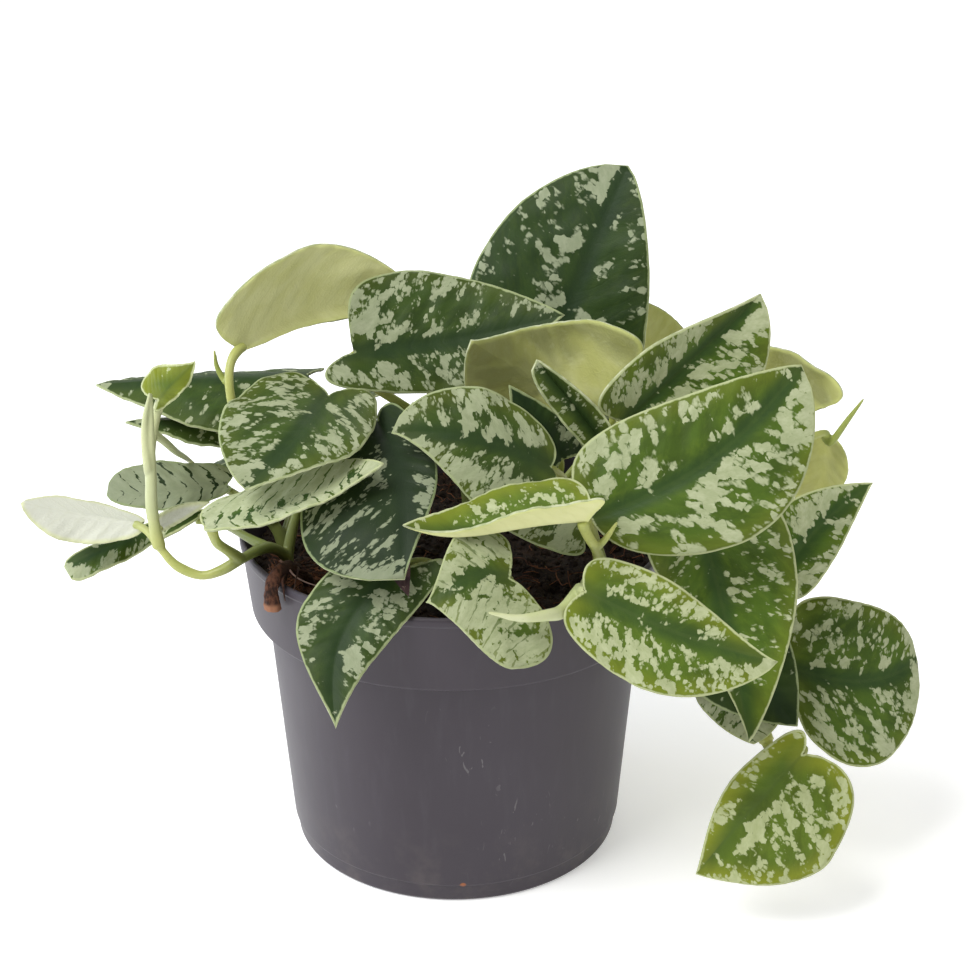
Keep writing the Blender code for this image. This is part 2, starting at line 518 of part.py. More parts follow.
# The woody root comes out of the soil and hangs over the rim.
ROOT_PATH = [(-38, -31, 80), (-38, -31, 90), (-42.3, -34.6, 97.4), (-45.7, -38.6, 98.3), (-47.6, -41, 94.5),
             (-47.5, -41.4, 88.6)]
ROOT_RADII = [1.3, 1.5, 1.7, 1.8, 1.8, 2.3]


def smooth_line(points, pitch, straight_start=False):
    """A smooth line through hand-set points, with a point about every pitch."""
    p = [np.array(point, float) for point in points]
    p = [2 * p[0] - p[1]] + p + [2 * p[-1] - p[-2]]
    line = [p[1]] if straight_start else []
    for i in range(2 if straight_start else 1, len(p) - 2):
        count = max(2, int(round(np.linalg.norm(p[i + 1] - p[i]) / pitch)))
        for k in range(count):
            t = k / count
            line.append(0.5 * (2 * p[i] + (p[i + 1] - p[i - 1]) * t
                               + (2 * p[i - 1] - 5 * p[i] + 4 * p[i + 1] - p[i + 2]) * t ** 2
                               + (3 * p[i] - p[i - 1] - 3 * p[i + 1] + p[i + 2]) * t ** 3))
    line.append(p[-2])
    return line


def petiole_line(start, rise, name, radius):
    """A petiole's centre line: it sets off along rise and ends just under the base of its blade."""
    leaf = {**BLADE, **LEAVES[name]}
    base, ahead, left, face, length = blade_axes(leaf)
    arrive = unit(leaf["meet"] * ahead + (1 - leaf["meet"]) * face)
    drop = BLADE_THICK / 2 + SEAT_GAP + radius * math.sqrt(1 - float(arrive @ face) ** 2)
    end = base + ahead * SEAT_IN - face * drop
    start = np.array(start, float)
    span = np.linalg.norm(end - start)
    early, late = start + unit(rise) * span * 0.4, end - arrive * span * 0.33
    line = []
    for k in range(PETIOLE_POINTS + 1):
        t = k / PETIOLE_POINTS
        line.append((1 - t) ** 3 * start + 3 * (1 - t) ** 2 * t * early + 3 * (1 - t) * t * t * late + t ** 3 * end)
    return line


def tube(name, line, radii, resolution, collection):
    """A closed tube along a line, made from a bevelled curve whose caps are welded on."""
    data = bpy.data.curves.new(name, "CURVE")
    data.dimensions = "3D"
    data.bevel_depth = MM
    data.bevel_resolution = resolution
    data.use_fill_caps = True
    spline = data.splines.new("POLY")
    spline.points.add(len(line) - 1)
    for point, place, radius in zip(spline.points, line, radii):
        point.co = (*(place * MM), 1)
        point.radius = radius
    curve = bpy.data.objects.new(name + "_line", data)
    collection.objects.link(curve)
    bpy.context.view_layer.update()
    mesh = bpy.data.meshes.new_from_object(curve.evaluated_get(bpy.context.evaluated_depsgraph_get()))
    bpy.data.objects.remove(curve, do_unlink=True)
    work = bmesh.new()
    work.from_mesh(mesh)
    bmesh.ops.remove_doubles(work, verts=work.verts, dist=0.000001)
    bmesh.ops.triangulate(work, faces=work.faces)
    work.to_mesh(mesh)
    work.free()
    made = bpy.data.objects.new(name, mesh)
    collection.objects.link(made)
    return made


def join(trunk, pieces):
    """Fuse the pieces into the trunk with one Boolean union, then remove them."""
    group = bpy.data.collections.new(trunk.name + "_pieces")
    bpy.context.scene.collection.children.link(group)
    for piece in pieces:
        for owner in list(piece.users_collection):
            owner.objects.unlink(piece)
        group.objects.link(piece)
    union = trunk.modifiers.new("join", "BOOLEAN")
    union.operation = "UNION"
    union.solver = "EXACT"
    union.operand_type = "COLLECTION"
    union.collection = group
    bpy.context.view_layer.update()
    mesh = bpy.data.meshes.new_from_object(trunk.evaluated_get(bpy.context.evaluated_depsgraph_get()))
    trunk.modifiers.remove(union)
    trunk.data = mesh
    for piece in pieces:
        bpy.data.objects.remove(piece, do_unlink=True)
    bpy.data.collections.remove(group)


def make_stem(name):
    """One cutting's stem with its petioles and sheaths, fused into one body."""
    stem = STEMS[name]
    line = smooth_line(stem["path"], STEM_PITCH, straight_start=True)
    end_radius = stem.get("thin", stem["radius"])
    trunk = tube(name, line, np.linspace(stem["radius"], end_radius, len(line)), 2, PLANT)
    pieces, lines = [], {}
    for leaf, at, radius, rise in stem["petioles"]:
        lines[leaf] = petiole_line(stem["path"][at], rise, leaf, radius)
        pieces.append(tube("petiole_" + leaf, lines[leaf], [radius] * len(lines[leaf]), 1, PLANT))
    for leaf, share, radius, points in stem.get("shoots", []):
        start = lines[leaf][round(share * PETIOLE_POINTS)]
        line = smooth_line([start] + points, SHOOT_PITCH)
        radii = radius - (radius - SHOOT_TIP) * np.linspace(0, 1, len(line)) ** 2
        pieces.append(tube("shoot_" + leaf, line, radii, 1, PLANT))
    join(trunk, pieces)
    trunk.data.materials.clear()
    trunk.data.materials.append(material(name + "_green", STEM_COLOURS.get(name, STEM_GREEN), 0.45))
    trunk.data.shade_smooth()


def make_root():
    line = smooth_line(ROOT_PATH, STEM_PITCH, straight_start=True)
    marks = np.linspace(0, 1, len(ROOT_RADII))
    radii = np.interp(np.linspace(0, 1, len(line)), marks, ROOT_RADII)
    root = tube("root_over_rim", line, radii, 2, PLANT)
    root.data.materials.append(material("bark", (0.080, 0.028, 0.014, 1), 0.85))


make_pot()
make_soil([(*stem["path"][0][:2], stem["radius"]) for stem in STEMS.values()]
          + [(*ROOT_PATH[0][:2], max(ROOT_RADII[:2]))])
for stem_name in STEMS:
    make_stem(stem_name)
for leaf_name in LEAVES:
    make_blade(leaf_name)
make_root()
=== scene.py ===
"""A potted satin pothos: silver-splashed heart leaves on short trailing vines, in a 12 cm nursery pot."""

import math

import bmesh
import bpy
import numpy as np
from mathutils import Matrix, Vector, noise


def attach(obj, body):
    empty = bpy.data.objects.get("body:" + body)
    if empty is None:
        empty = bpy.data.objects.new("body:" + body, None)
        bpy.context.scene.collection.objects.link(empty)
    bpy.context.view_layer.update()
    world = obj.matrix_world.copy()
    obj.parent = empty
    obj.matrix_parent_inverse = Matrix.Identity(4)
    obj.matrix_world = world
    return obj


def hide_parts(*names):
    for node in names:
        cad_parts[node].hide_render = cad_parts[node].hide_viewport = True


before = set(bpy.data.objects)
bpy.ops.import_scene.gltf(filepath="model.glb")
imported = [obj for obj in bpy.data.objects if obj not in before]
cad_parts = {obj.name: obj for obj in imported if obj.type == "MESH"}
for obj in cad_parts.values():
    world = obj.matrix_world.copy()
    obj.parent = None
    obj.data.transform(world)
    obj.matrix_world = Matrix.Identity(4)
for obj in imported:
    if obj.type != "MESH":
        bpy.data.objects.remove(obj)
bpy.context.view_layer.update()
MM = 0.001


# The set: a camera a little over half a metre in front of the pot, looking down at it, and a plain pale floor
# that glows a little, as in a cut-out on white. Soft light comes from a large white panel at the upper left,
# weaker ones at the right and behind, a bluish one low at the left, and the white room.
CAMERA_PLACE = (0.010, -0.539, 0.3417)
CAMERA_PITCH = 0.414
CAMERA_LENS = 77.38
SENSOR_WIDTH = 36.0
FLOOR_SIZE = 30.0
FLOOR_WHITE = (0.93, 0.93, 0.93, 1)
FLOOR_ROUGH = 0.9
FLOOR_GLOW = 0.34
ROOM_LIGHT = 0.40
WHITE = (1.0, 1.0, 1.0)
LOW_BLUE = (0.72, 0.80, 1.0)
LIGHT_TARGET = (0, 0, 0.08)

camera_data = bpy.data.cameras.new("camera")
camera_data.lens = CAMERA_LENS
camera_data.sensor_width = SENSOR_WIDTH
camera = bpy.data.objects.new("camera", camera_data)
camera.location = CAMERA_PLACE
camera.rotation_euler = (math.pi / 2 - CAMERA_PITCH, 0, 0)
bpy.context.scene.collection.objects.link(camera)
bpy.context.scene.camera = camera
bpy.context.scene.view_settings.view_transform = "Standard"

bpy.ops.mesh.primitive_plane_add(size=FLOOR_SIZE, location=(0, 0, 0))
floor = bpy.context.object
floor.name = "studio_floor"
floor_paint = bpy.data.materials.new("pale_floor")
floor_paint.use_nodes = True
floor_shader = floor_paint.node_tree.nodes["Principled BSDF"]
for socket, value in (("Base Color", FLOOR_WHITE), ("Roughness", FLOOR_ROUGH),
                      ("Emission Color", (*WHITE, 1)), ("Emission Strength", FLOOR_GLOW)):
    floor_shader.inputs[socket].default_value = value
floor.data.materials.append(floor_paint)

room = bpy.data.worlds.new("room")
bpy.context.scene.world = room
room.use_nodes = True
room_shader = room.node_tree.nodes["Background"]
room_shader.inputs["Color"].default_value = (*WHITE, 1)
room_shader.inputs["Strength"].default_value = ROOM_LIGHT


def light_panel(name, place, size, power, colour=WHITE):
    """A square panel of light that faces the plant."""
    data = bpy.data.lights.new(name, "AREA")
    data.size = size
    data.energy = power
    data.color = colour
    panel = bpy.data.objects.new(name, data)
    panel.location = place
    panel.rotation_euler = (Vector(LIGHT_TARGET) - Vector(place)).to_track_quat("-Z", "Y").to_euler()
    bpy.context.scene.collection.objects.link(panel)


light_panel("key_panel", (-0.70, -0.55, 1.35), 0.8, 22.0)
light_panel("fill_panel", (0.95, -0.55, 0.75), 0.9, 2.0)
light_panel("left_panel", (-1.15, 0.15, 0.45), 0.8, 7.0, LOW_BLUE)
light_panel("back_panel", (0.1, 1.1, 1.0), 0.9, 5.0)


# The pot: a thin injection-moulded shell of dark taupe-grey plastic. A stepped collar stiffens the rim,
# a fine line runs round it above the foot, and six drain holes sit in a recess in the floor.
RIM_RADIUS = 60.0
POT_HEIGHT = 95.0
COLLAR_HEIGHT = 22.6
COLLAR_TAPER = 2.4
COLLAR_STEP = 4.4
BASE_RADIUS = 47.4
WALL = 1.4
FLOOR = 2.4
FOOT_HEIGHT = 6.0
FOOT_INSET = 0.6
DRAIN_HOLES = 6
DRAIN_RADIUS = 3.6
DRAIN_CIRCLE = 27.0
DRAIN_TURN = 0.2
RECESS = 0.9
RECESS_INNER = 18.0
RECESS_OUTER = 36.0
POT_STEPS = 144
COLLAR_FOOT = POT_HEIGHT - COLLAR_HEIGHT
LIP = 0.2
LIP_DEPTH = 2.2
FOOT_LINE = 0.5
EDGE_ARC = 0.7
DRILL_SIDES = 31
DRILL_LENGTH = 8.0
DRILL_HEIGHT = 1.2
OVAL = 0.175
WAVES = 0.125
DENT = 0.25
DENT_TURN = -0.75
DENT_HEIGHT = 50.0
STILL_RADIUS = 30.0
RUSTY_SPOT = (2.5, -47.6, 6.0)
DUST_HEIGHT = 30.0
SHARP_EDGE = 50.0
TAUPE = (0.036, 0.028, 0.036)
TAUPE_PALE = (0.043, 0.035, 0.044)
FLOW_MARK = (0.054, 0.046, 0.056)
DUST = (0.160, 0.135, 0.115)
RUST = (0.300, 0.100, 0.035)
SCRATCH = (0.190, 0.180, 0.180)


def collar_radius(z):
    """Outer radius of the collar at a height."""
    return RIM_RADIUS - COLLAR_TAPER * (POT_HEIGHT - z) / COLLAR_HEIGHT


def body_radius(z):
    """Outer radius of the tapered body under the collar."""
    top_radius = RIM_RADIUS - COLLAR_TAPER - COLLAR_STEP
    return BASE_RADIUS + (top_radius - BASE_RADIUS) * z / COLLAR_FOOT


def rounded(profile, radius, steps=4):
    """The profile with each corner but the ends turned into a small arc."""
    p = [np.array(point, float) for point in profile]
    made = [p[0]]
    for before, corner, after in zip(p[:-2], p[1:-1], p[2:]):
        back, ahead = before - corner, after - corner
        cut = min(radius, np.linalg.norm(back) * 0.45, np.linalg.norm(ahead) * 0.45)
        start = corner + back / np.linalg.norm(back) * cut
        end = corner + ahead / np.linalg.norm(ahead) * cut
        for k in range(steps + 1):
            t = k / steps
            made.append((1 - t) ** 2 * start + 2 * (1 - t) * t * corner + t * t * end)
    return made + [p[-1]]


def new_object(name, mesh):
    made = bpy.data.objects.new(name, mesh)
    bpy.context.scene.collection.objects.link(made)
    return made


def settled(piece):
    """The piece as one plain mesh, with its modifiers carried out."""
    bpy.context.view_layer.update()
    mesh = bpy.data.meshes.new_from_object(piece.evaluated_get(bpy.context.evaluated_depsgraph_get()))
    piece.modifiers.clear()
    piece.data = mesh
    return piece


def finish_piece(piece, cad_node):
    """The piece stands for the CAD node of the same place and moves with the plant's one body."""
    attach(piece, "root")
    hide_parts(cad_node)


shell_profile = [
    (0, FLOOR),
    (body_radius(FLOOR) - WALL, FLOOR),
    (body_radius(COLLAR_FOOT) - WALL, COLLAR_FOOT + 0.8),
    (collar_radius(COLLAR_FOOT) - WALL, COLLAR_FOOT + 1.6),
    (RIM_RADIUS - WALL, POT_HEIGHT - 1.0),
    (RIM_RADIUS - WALL + 0.4, POT_HEIGHT),
    (RIM_RADIUS - 0.4, POT_HEIGHT),
    (RIM_RADIUS + LIP, POT_HEIGHT - EDGE_ARC),
    (RIM_RADIUS + LIP, POT_HEIGHT - LIP_DEPTH),
    (collar_radius(POT_HEIGHT - LIP_DEPTH - 0.6), POT_HEIGHT - LIP_DEPTH - 0.6),
    (collar_radius(COLLAR_FOOT), COLLAR_FOOT + 0.6),
    (collar_radius(COLLAR_FOOT) - 0.6, COLLAR_FOOT),
    (body_radius(COLLAR_FOOT), COLLAR_FOOT - 0.3),
    (body_radius(FOOT_HEIGHT), FOOT_HEIGHT),
    (body_radius(FOOT_HEIGHT) - FOOT_INSET, FOOT_HEIGHT - FOOT_LINE),
    (BASE_RADIUS - FOOT_INSET, 0.8),
    (BASE_RADIUS - FOOT_INSET - 0.8, 0),
    (RECESS_OUTER, 0),
    (RECESS_OUTER - RECESS, RECESS),
    (RECESS_INNER + RECESS, RECESS),
    (RECESS_INNER, 0),
    (0, 0),
]
profile = rounded(shell_profile, EDGE_ARC)
pot_mesh = bpy.data.meshes.new("nursery_pot")
edges = [(i, i + 1) for i in range(len(profile) - 1)]
pot_mesh.from_pydata([(r * MM, 0, z * MM) for r, z in profile], edges, [])
pot = new_object("nursery_pot", pot_mesh)
turn = pot.modifiers.new("turn", "SCREW")
turn.steps = turn.render_steps = POT_STEPS
turn.use_merge_vertices = True
turn.merge_threshold = 0.00001
settled(pot)
cutters = []
for k in range(DRAIN_HOLES):
    angle = DRAIN_TURN + 2 * math.pi * k / DRAIN_HOLES
    drill_mesh = bpy.data.meshes.new("drill")
    drill_work = bmesh.new()
    bmesh.ops.create_cone(drill_work, cap_ends=True, segments=DRILL_SIDES, radius1=DRAIN_RADIUS * MM,
                          radius2=DRAIN_RADIUS * MM, depth=DRILL_LENGTH * MM)
    drill_work.to_mesh(drill_mesh)
    drill_work.free()
    drill = new_object(f"drill_{k}", drill_mesh)
    place = (DRAIN_CIRCLE * math.cos(angle), DRAIN_CIRCLE * math.sin(angle), DRILL_HEIGHT)
    drill.location = [v * MM for v in place]
    cut = pot.modifiers.new("drain", "BOOLEAN")
    cut.operation = "DIFFERENCE"
    cut.solver = "EXACT"
    cut.object = drill
    cutters.append(drill)
settled(pot)
for drill in cutters:
    bpy.data.objects.remove(drill, do_unlink=True)
for point in pot.data.vertices:
    # The shell is a little out of true, pulled in at the right where it was squeezed.
    x, y, z = (v / MM for v in point.co)
    angle, radius = math.atan2(y, x), math.hypot(x, y)
    if radius > STILL_RADIUS:
        push = OVAL * math.sin(2 * angle + 0.6) + WAVES * math.sin(5 * angle)
        push -= DENT * math.exp(-((angle - DENT_TURN) / 0.25) ** 2 - ((z - DENT_HEIGHT) / 18) ** 2)
        push *= max(0.0, min(1.0, (z - 8) / 60)) * MM
        point.co.x += math.cos(angle) * push
        point.co.y += math.sin(angle) * push
pot.data.shade_smooth()
pot.data.set_sharp_from_angle(angle=math.radians(SHARP_EDGE))


def feed(tree, socket, value):
    """Links the socket to what another node puts out, or sets its value. A colour may leave out its alpha."""
    if isinstance(value, bpy.types.NodeSocket):
        tree.links.new(value, socket)
    elif socket.type == "RGBA" and len(value) == 3:
        socket.default_value = (*value, 1)
    else:
        socket.default_value = value


def node(tree, kind, *values, **settings):
    """A new node. A setting with a capital letter feeds the input of that name, with _ for a space, and any
    other sets a property of the node. Then the values feed its first inputs in turn."""
    made = tree.nodes.new(kind)
    for name, value in settings.items():
        if name[0].isupper():
            feed(tree, made.inputs[name.replace("_", " ")], value)
        else:
            setattr(made, name, value)
    for socket, value in zip(made.inputs, values):
        feed(tree, socket, value)
    return made


def maths(tree, operation, a, b=0.0, c=0.0, clamp=False):
    return node(tree, "ShaderNodeMath", a, b, c, operation=operation, use_clamp=clamp).outputs[0]


def times(tree, a, b):
    return maths(tree, "MULTIPLY", a, b)


def vector_maths(tree, operation, a, b):
    """The operation on two vectors. To scale one, b is a number."""
    made = node(tree, "ShaderNodeVectorMath", a, operation=operation)
    feed(tree, made.inputs["Scale" if operation == "SCALE" else 1], b)
    return made.outputs["Value" if operation == "DISTANCE" else "Vector"]


def parts_of(tree, vector):
    """The x, the y and the z of a vector."""
    return node(tree, "ShaderNodeSeparateXYZ", vector).outputs


def ramp(tree, value, low, high, to_low=0.0, to_high=1.0, kind="SMOOTHSTEP"):
    """The value turned from the range low to high into the range to_low to to_high."""
    made = node(tree, "ShaderNodeMapRange", value, low, high, to_low, to_high, interpolation_type=kind)
    return made.outputs["Result"]


def layered(tree, colour, *coats):
    """The colour with coats laid over it in turn. A coat gives how much of it covers what is below it, and
    its own colour."""
    for share, coat in coats:
        made = node(tree, "ShaderNodeMix", share, data_type="RGBA")
        feed(tree, made.inputs[6], colour)
        feed(tree, made.inputs[7], coat)
        colour = made.outputs[2]
    return colour


def noise_of(tree, vector, scale, detail=2.0, roughness=0.5, distortion=0.0, colour=False):
    made = node(tree, "ShaderNodeTexNoise", Vector=vector, Scale=scale, Detail=detail, Roughness=roughness,
                Distortion=distortion)
    return made.outputs["Color" if colour else "Fac"]


def new_finish(name, roughness, specular):
    """A new material and its node tree."""
    made = bpy.data.materials.new(name)
    made.use_nodes = True
    shader = made.node_tree.nodes["Principled BSDF"]
    shader.inputs["Roughness"].default_value = roughness
    shader.inputs["Specular IOR Level"].default_value = specular
    return made, made.node_tree


def coated(made, colour, height, strength, depth, roughness=None):
    """The material with its colour, with a relief that follows height, and with a roughness that changes
    over it where one is given."""
    tree = made.node_tree
    shader = tree.nodes["Principled BSDF"]
    relief = node(tree, "ShaderNodeBump", Strength=strength, Distance=depth * MM, Height=height)
    feed(tree, shader.inputs["Base Color"], colour)
    feed(tree, shader.inputs["Normal"], relief.outputs["Normal"])
    if roughness is not None:
        feed(tree, shader.inputs["Roughness"], roughness)
    return made


def object_place(tree):
    """The place of each point in its object's own space, in metres."""
    return node(tree, "ShaderNodeTexCoord").outputs["Object"]


def moulded_plastic():
    """Dull taupe plastic with faint flow marks, dust near the foot, small scratches and one rusty spot."""
    made, tree = new_finish("taupe_plastic", 0.46, 0.34)
    where = object_place(tree)
    broad = noise_of(tree, where, 18.0, 3.0)
    streak = noise_of(tree, vector_maths(tree, "MULTIPLY", where, (1.0, 1.0, 0.16)), 260.0, 3.0, 0.6)
    grain = noise_of(tree, where, 2600.0)
    dust = times(tree, ramp(tree, parts_of(tree, where)[2], DUST_HEIGHT * MM, 0.0, 0.0, 0.22),
                 ramp(tree, noise_of(tree, where, 90.0, 5.0, 0.65), 0.45, 0.7))
    from_spot = vector_maths(tree, "DISTANCE", where, [v * MM for v in RUSTY_SPOT])
    scratch_place = vector_maths(tree, "MULTIPLY", where, (1.0, 1.0, 0.35))
    scratch = times(tree, ramp(tree, noise_of(tree, scratch_place, 420.0, 1.0, 0.5, 2.0), 0.70, 0.74),
                    ramp(tree, noise_of(tree, where, 30.0), 0.55, 0.66))
    colour = layered(tree, TAUPE, (ramp(tree, broad, 0.35, 0.65), TAUPE_PALE),
                     (ramp(tree, streak, 0.5, 0.75, 0.0, 0.35), FLOW_MARK), (dust, DUST),
                     (ramp(tree, from_spot, 1.1 * MM, 0.6 * MM), RUST), (times(tree, scratch, 0.5), SCRATCH))
    rough = maths(tree, "ADD", ramp(tree, broad, 0.3, 0.7, 0.40, 0.50), times(tree, scratch, 0.15))
    height = maths(tree, "ADD", times(tree, grain, 0.5), times(tree, streak, 0.5))
    return coated(made, colour, height, 0.25, 0.2, rough)


pot.data.materials.append(moulded_plastic())
finish_piece(pot, "pot")


# The soil: damp dark peat, pressed in round the stems and a little below the rim. Crumbs of peat and
# short reddish coir fibres lie loose on its top.
SOIL_EDGE = 86.0
SOIL_RISE = 3.0
SOIL_LUMP = 0.7
SOIL_GAP = 0.45
SOIL_ROUGH = 1.5
SOIL_SINK = 0.6
SOIL_RINGS = 56
SOIL_STEPS = 144
CRUMBS = 2050
CRUMB_SEED = 7
CRUMB_REACH = 57.0
SMALLEST_CRUMB = 0.7
LARGEST_CRUMB = 3.4
UPWARD = 0.35
MOSTLY_SMALL = 3.0
ANY_TURN = 3.14
FIBRES = 420
FIBRE_SEED = 11
FIBRE_SPREAD = 55.0
FIBRE_REACH = 54.0
FIBRE_LENGTHS = (4, 13)
FIBRE_LIFTS = (0.2, 2.6)
FIBRE_HEAP = ((-41, 7), (-26, 9))
FIBRE_POINTS = 9
FIBRE_GIRTH = 0.16
FIBRE_CURL = 7.0
PEAT = (0.0065, 0.0042, 0.0030)
PEAT_BROWN = (0.030, 0.017, 0.010)
PEAT_RED = (0.052, 0.026, 0.014)
COIR_DARK = (0.050, 0.018, 0.009)
COIR_RED = (0.150, 0.060, 0.028)


def soil_height(r, angle):
    """The soil's lumpy top: highest in the middle, level with SOIL_EDGE at the pot."""
    share = r / (RIM_RADIUS - WALL)
    lump = math.sin(3 * angle + 4 * share) * math.cos(5 * angle - 7 * share) * share * (1 - share) * 4
    return SOIL_EDGE + SOIL_RISE * (1 - share ** 2) + SOIL_LUMP * lump


def ring_of(radius):
    """The x, the y and the angle of each point of a ring."""
    angles = [2 * math.pi * k / SOIL_STEPS for k in range(SOIL_STEPS)]
    return [(radius * math.cos(angle), radius * math.sin(angle), angle) for angle in angles]


def soil_body():
    """The filling as one closed shape: a floor, a wall that follows the pot's inside, and the rough top."""
    inset, shoulder = WALL + SOIL_GAP, COLLAR_FOOT + 1.6 + SOIL_GAP
    wall = [(body_radius(FLOOR) - inset, FLOOR + SOIL_GAP),
            (body_radius(COLLAR_FOOT) - inset, shoulder - 0.8),
            (collar_radius(COLLAR_FOOT) - inset, shoulder),
            (collar_radius(SOIL_EDGE) - inset, SOIL_EDGE - 1.6)]
    points = [(x, y, z) for radius, z in wall for x, y, angle in ring_of(radius)]
    for ring in range(SOIL_RINGS):
        radius = wall[-1][0] * (0.985 - 0.97 * ring / (SOIL_RINGS - 1))
        for x, y, angle in ring_of(radius):
            rough = noise.fractal(Vector((x * 0.16, y * 0.16, 3.0)), 0.7, 2.0, 5) * SOIL_ROUGH
            points.append((x, y, soil_height(radius, angle) + rough - SOIL_SINK))
    points.append((0, 0, points[-1][2]))
    last = len(points) - 1 - SOIL_STEPS
    faces = []
    for first in range(0, last, SOIL_STEPS):
        for k in range(SOIL_STEPS):
            a, b = first + k, first + (k + 1) % SOIL_STEPS
            faces.append((a, b, b + SOIL_STEPS, a + SOIL_STEPS))
    for k in range(SOIL_STEPS):
        faces.append((last + k, last + (k + 1) % SOIL_STEPS, len(points) - 1))
    faces.append(tuple(reversed(range(SOIL_STEPS))))
    mesh = bpy.data.meshes.new("soil_body")
    mesh.from_pydata([tuple(v * MM for v in p) for p in points], [], faces)
    mesh.shade_smooth()
    return new_object("soil_body", mesh)


def earth():
    """Near-black peat with brown crumbs."""
    made, tree = new_finish("damp_peat", 0.92, 0.25)
    where = object_place(tree)
    fine = noise_of(tree, where, 1300.0, 5.0, 0.7)
    broad = noise_of(tree, where, 160.0, 3.0)
    colour = layered(tree, PEAT, (ramp(tree, fine, 0.38, 0.66), PEAT_BROWN),
                     (ramp(tree, broad, 0.5, 0.72, 0.0, 0.45), PEAT_RED))
    return coated(made, colour, fine, 0.8, 0.6)


def two_tone(name, roughness, specular, scale, low, high, spread=0.1):
    """A plain finish that wanders between two shades. A wider spread makes the change softer."""
    made, tree = new_finish(name, roughness, specular)
    patch = ramp(tree, noise_of(tree, object_place(tree), scale), 0.5 - spread, 0.5 + spread)
    feed(tree, tree.nodes["Principled BSDF"].inputs["Base Color"], layered(tree, low, (patch, high)))
    return made


def tree_of(name, **inputs):
    """A new Geometry Nodes tree, what its inputs put out, and the identifiers to set them by."""
    made = bpy.data.node_groups.new(name, "GeometryNodeTree")
    made.interface.new_socket("Geometry", in_out="INPUT", socket_type="NodeSocketGeometry")
    sockets = {}
    for title, kind in inputs.items():
        sockets[title] = made.interface.new_socket(title, in_out="INPUT", socket_type=kind).identifier
    made.interface.new_socket("Geometry", in_out="OUTPUT", socket_type="NodeSocketGeometry")
    return made, made.nodes.new("NodeGroupInput").outputs, sockets


def end_tree(tree, shape, paint):
    """The end of every tree: its instances are made real and get their finish."""
    real = node(tree, "GeometryNodeRealizeInstances", shape)
    painted = node(tree, "GeometryNodeSetMaterial", Geometry=real.outputs[0], Material=paint)
    node(tree, "NodeGroupOutput", Geometry=painted.outputs["Geometry"])


def grown(piece, tree, sockets, **values):
    """The piece turned into what the tree makes of it."""
    run = piece.modifiers.new(tree.name, "NODES")
    run.node_group = tree
    for title, value in values.items():
        run[sockets[title]] = value
    return settled(piece)


def crumb_tree():
    """Scatters crumbs over the top faces of the soil, each turned and sized at random."""
    tree, given, sockets = tree_of(
        "soil_crumbs", Crumb="NodeSocketObject", Density="NodeSocketFloat", Smallest="NodeSocketFloat",
        Largest="NodeSocketFloat", Seed="NodeSocketInt", Finish="NodeSocketMaterial")
    slope = parts_of(tree, node(tree, "GeometryNodeInputNormal").outputs[0])[2]
    upward = node(tree, "FunctionNodeCompare", slope, UPWARD, operation="GREATER_THAN")
    points = node(tree, "GeometryNodeDistributePointsOnFaces", Mesh=given["Geometry"], Seed=given["Seed"],
                  Selection=upward.outputs[0], Density=given["Density"])
    crumb = node(tree, "GeometryNodeObjectInfo", Object=given["Crumb"])
    turn = node(tree, "FunctionNodeRandomValue", (-ANY_TURN,) * 3, (ANY_TURN,) * 3, data_type="FLOAT_VECTOR")
    chance = node(tree, "FunctionNodeRandomValue", data_type="FLOAT").outputs[1]
    chance = maths(tree, "POWER", chance, MOSTLY_SMALL)
    size = ramp(tree, chance, 0.0, 1.0, given["Smallest"], given["Largest"], "LINEAR")
    crumbs = node(tree, "GeometryNodeInstanceOnPoints", Points=points.outputs["Points"],
                  Instance=crumb.outputs["Geometry"], Rotation=turn.outputs[0], Scale=size)
    end_tree(tree, crumbs.outputs["Instances"], given["Finish"])
    return tree, sockets


def crumb_shape(name, seed):
    """One rough crumb, a millimetre across before it is scaled."""
    mesh = bpy.data.meshes.new(name)
    work = bmesh.new()
    bmesh.ops.create_icosphere(work, subdivisions=2, radius=0.5)
    for vertex in work.verts:
        push = noise.noise(vertex.co * 2.3 + Vector((seed, 0, 0))) * 0.45
        vertex.co *= 1 + push
        vertex.co.z *= 0.75
    work.to_mesh(mesh)
    work.free()
    return new_object(name, mesh)


earth_finish = earth()
coir_finish = two_tone("coir_fibre", 0.85, 0.2, 220.0, COIR_DARK, COIR_RED)
soil = soil_body()
soil.data.materials.append(earth_finish)
crumb = crumb_shape("crumb", 4.0)
crumbs = new_object("soil_crumbs", soil.data.copy())
grown(crumbs, *crumb_tree(), Crumb=crumb, Density=CRUMBS / (math.pi * (CRUMB_REACH * MM) ** 2),
      Smallest=SMALLEST_CRUMB * MM, Largest=LARGEST_CRUMB * MM, Seed=CRUMB_SEED, Finish=earth_finish)
bpy.data.objects.remove(crumb, do_unlink=True)
finish_piece(soil, "soil")
finish_piece(crumbs, "soil")


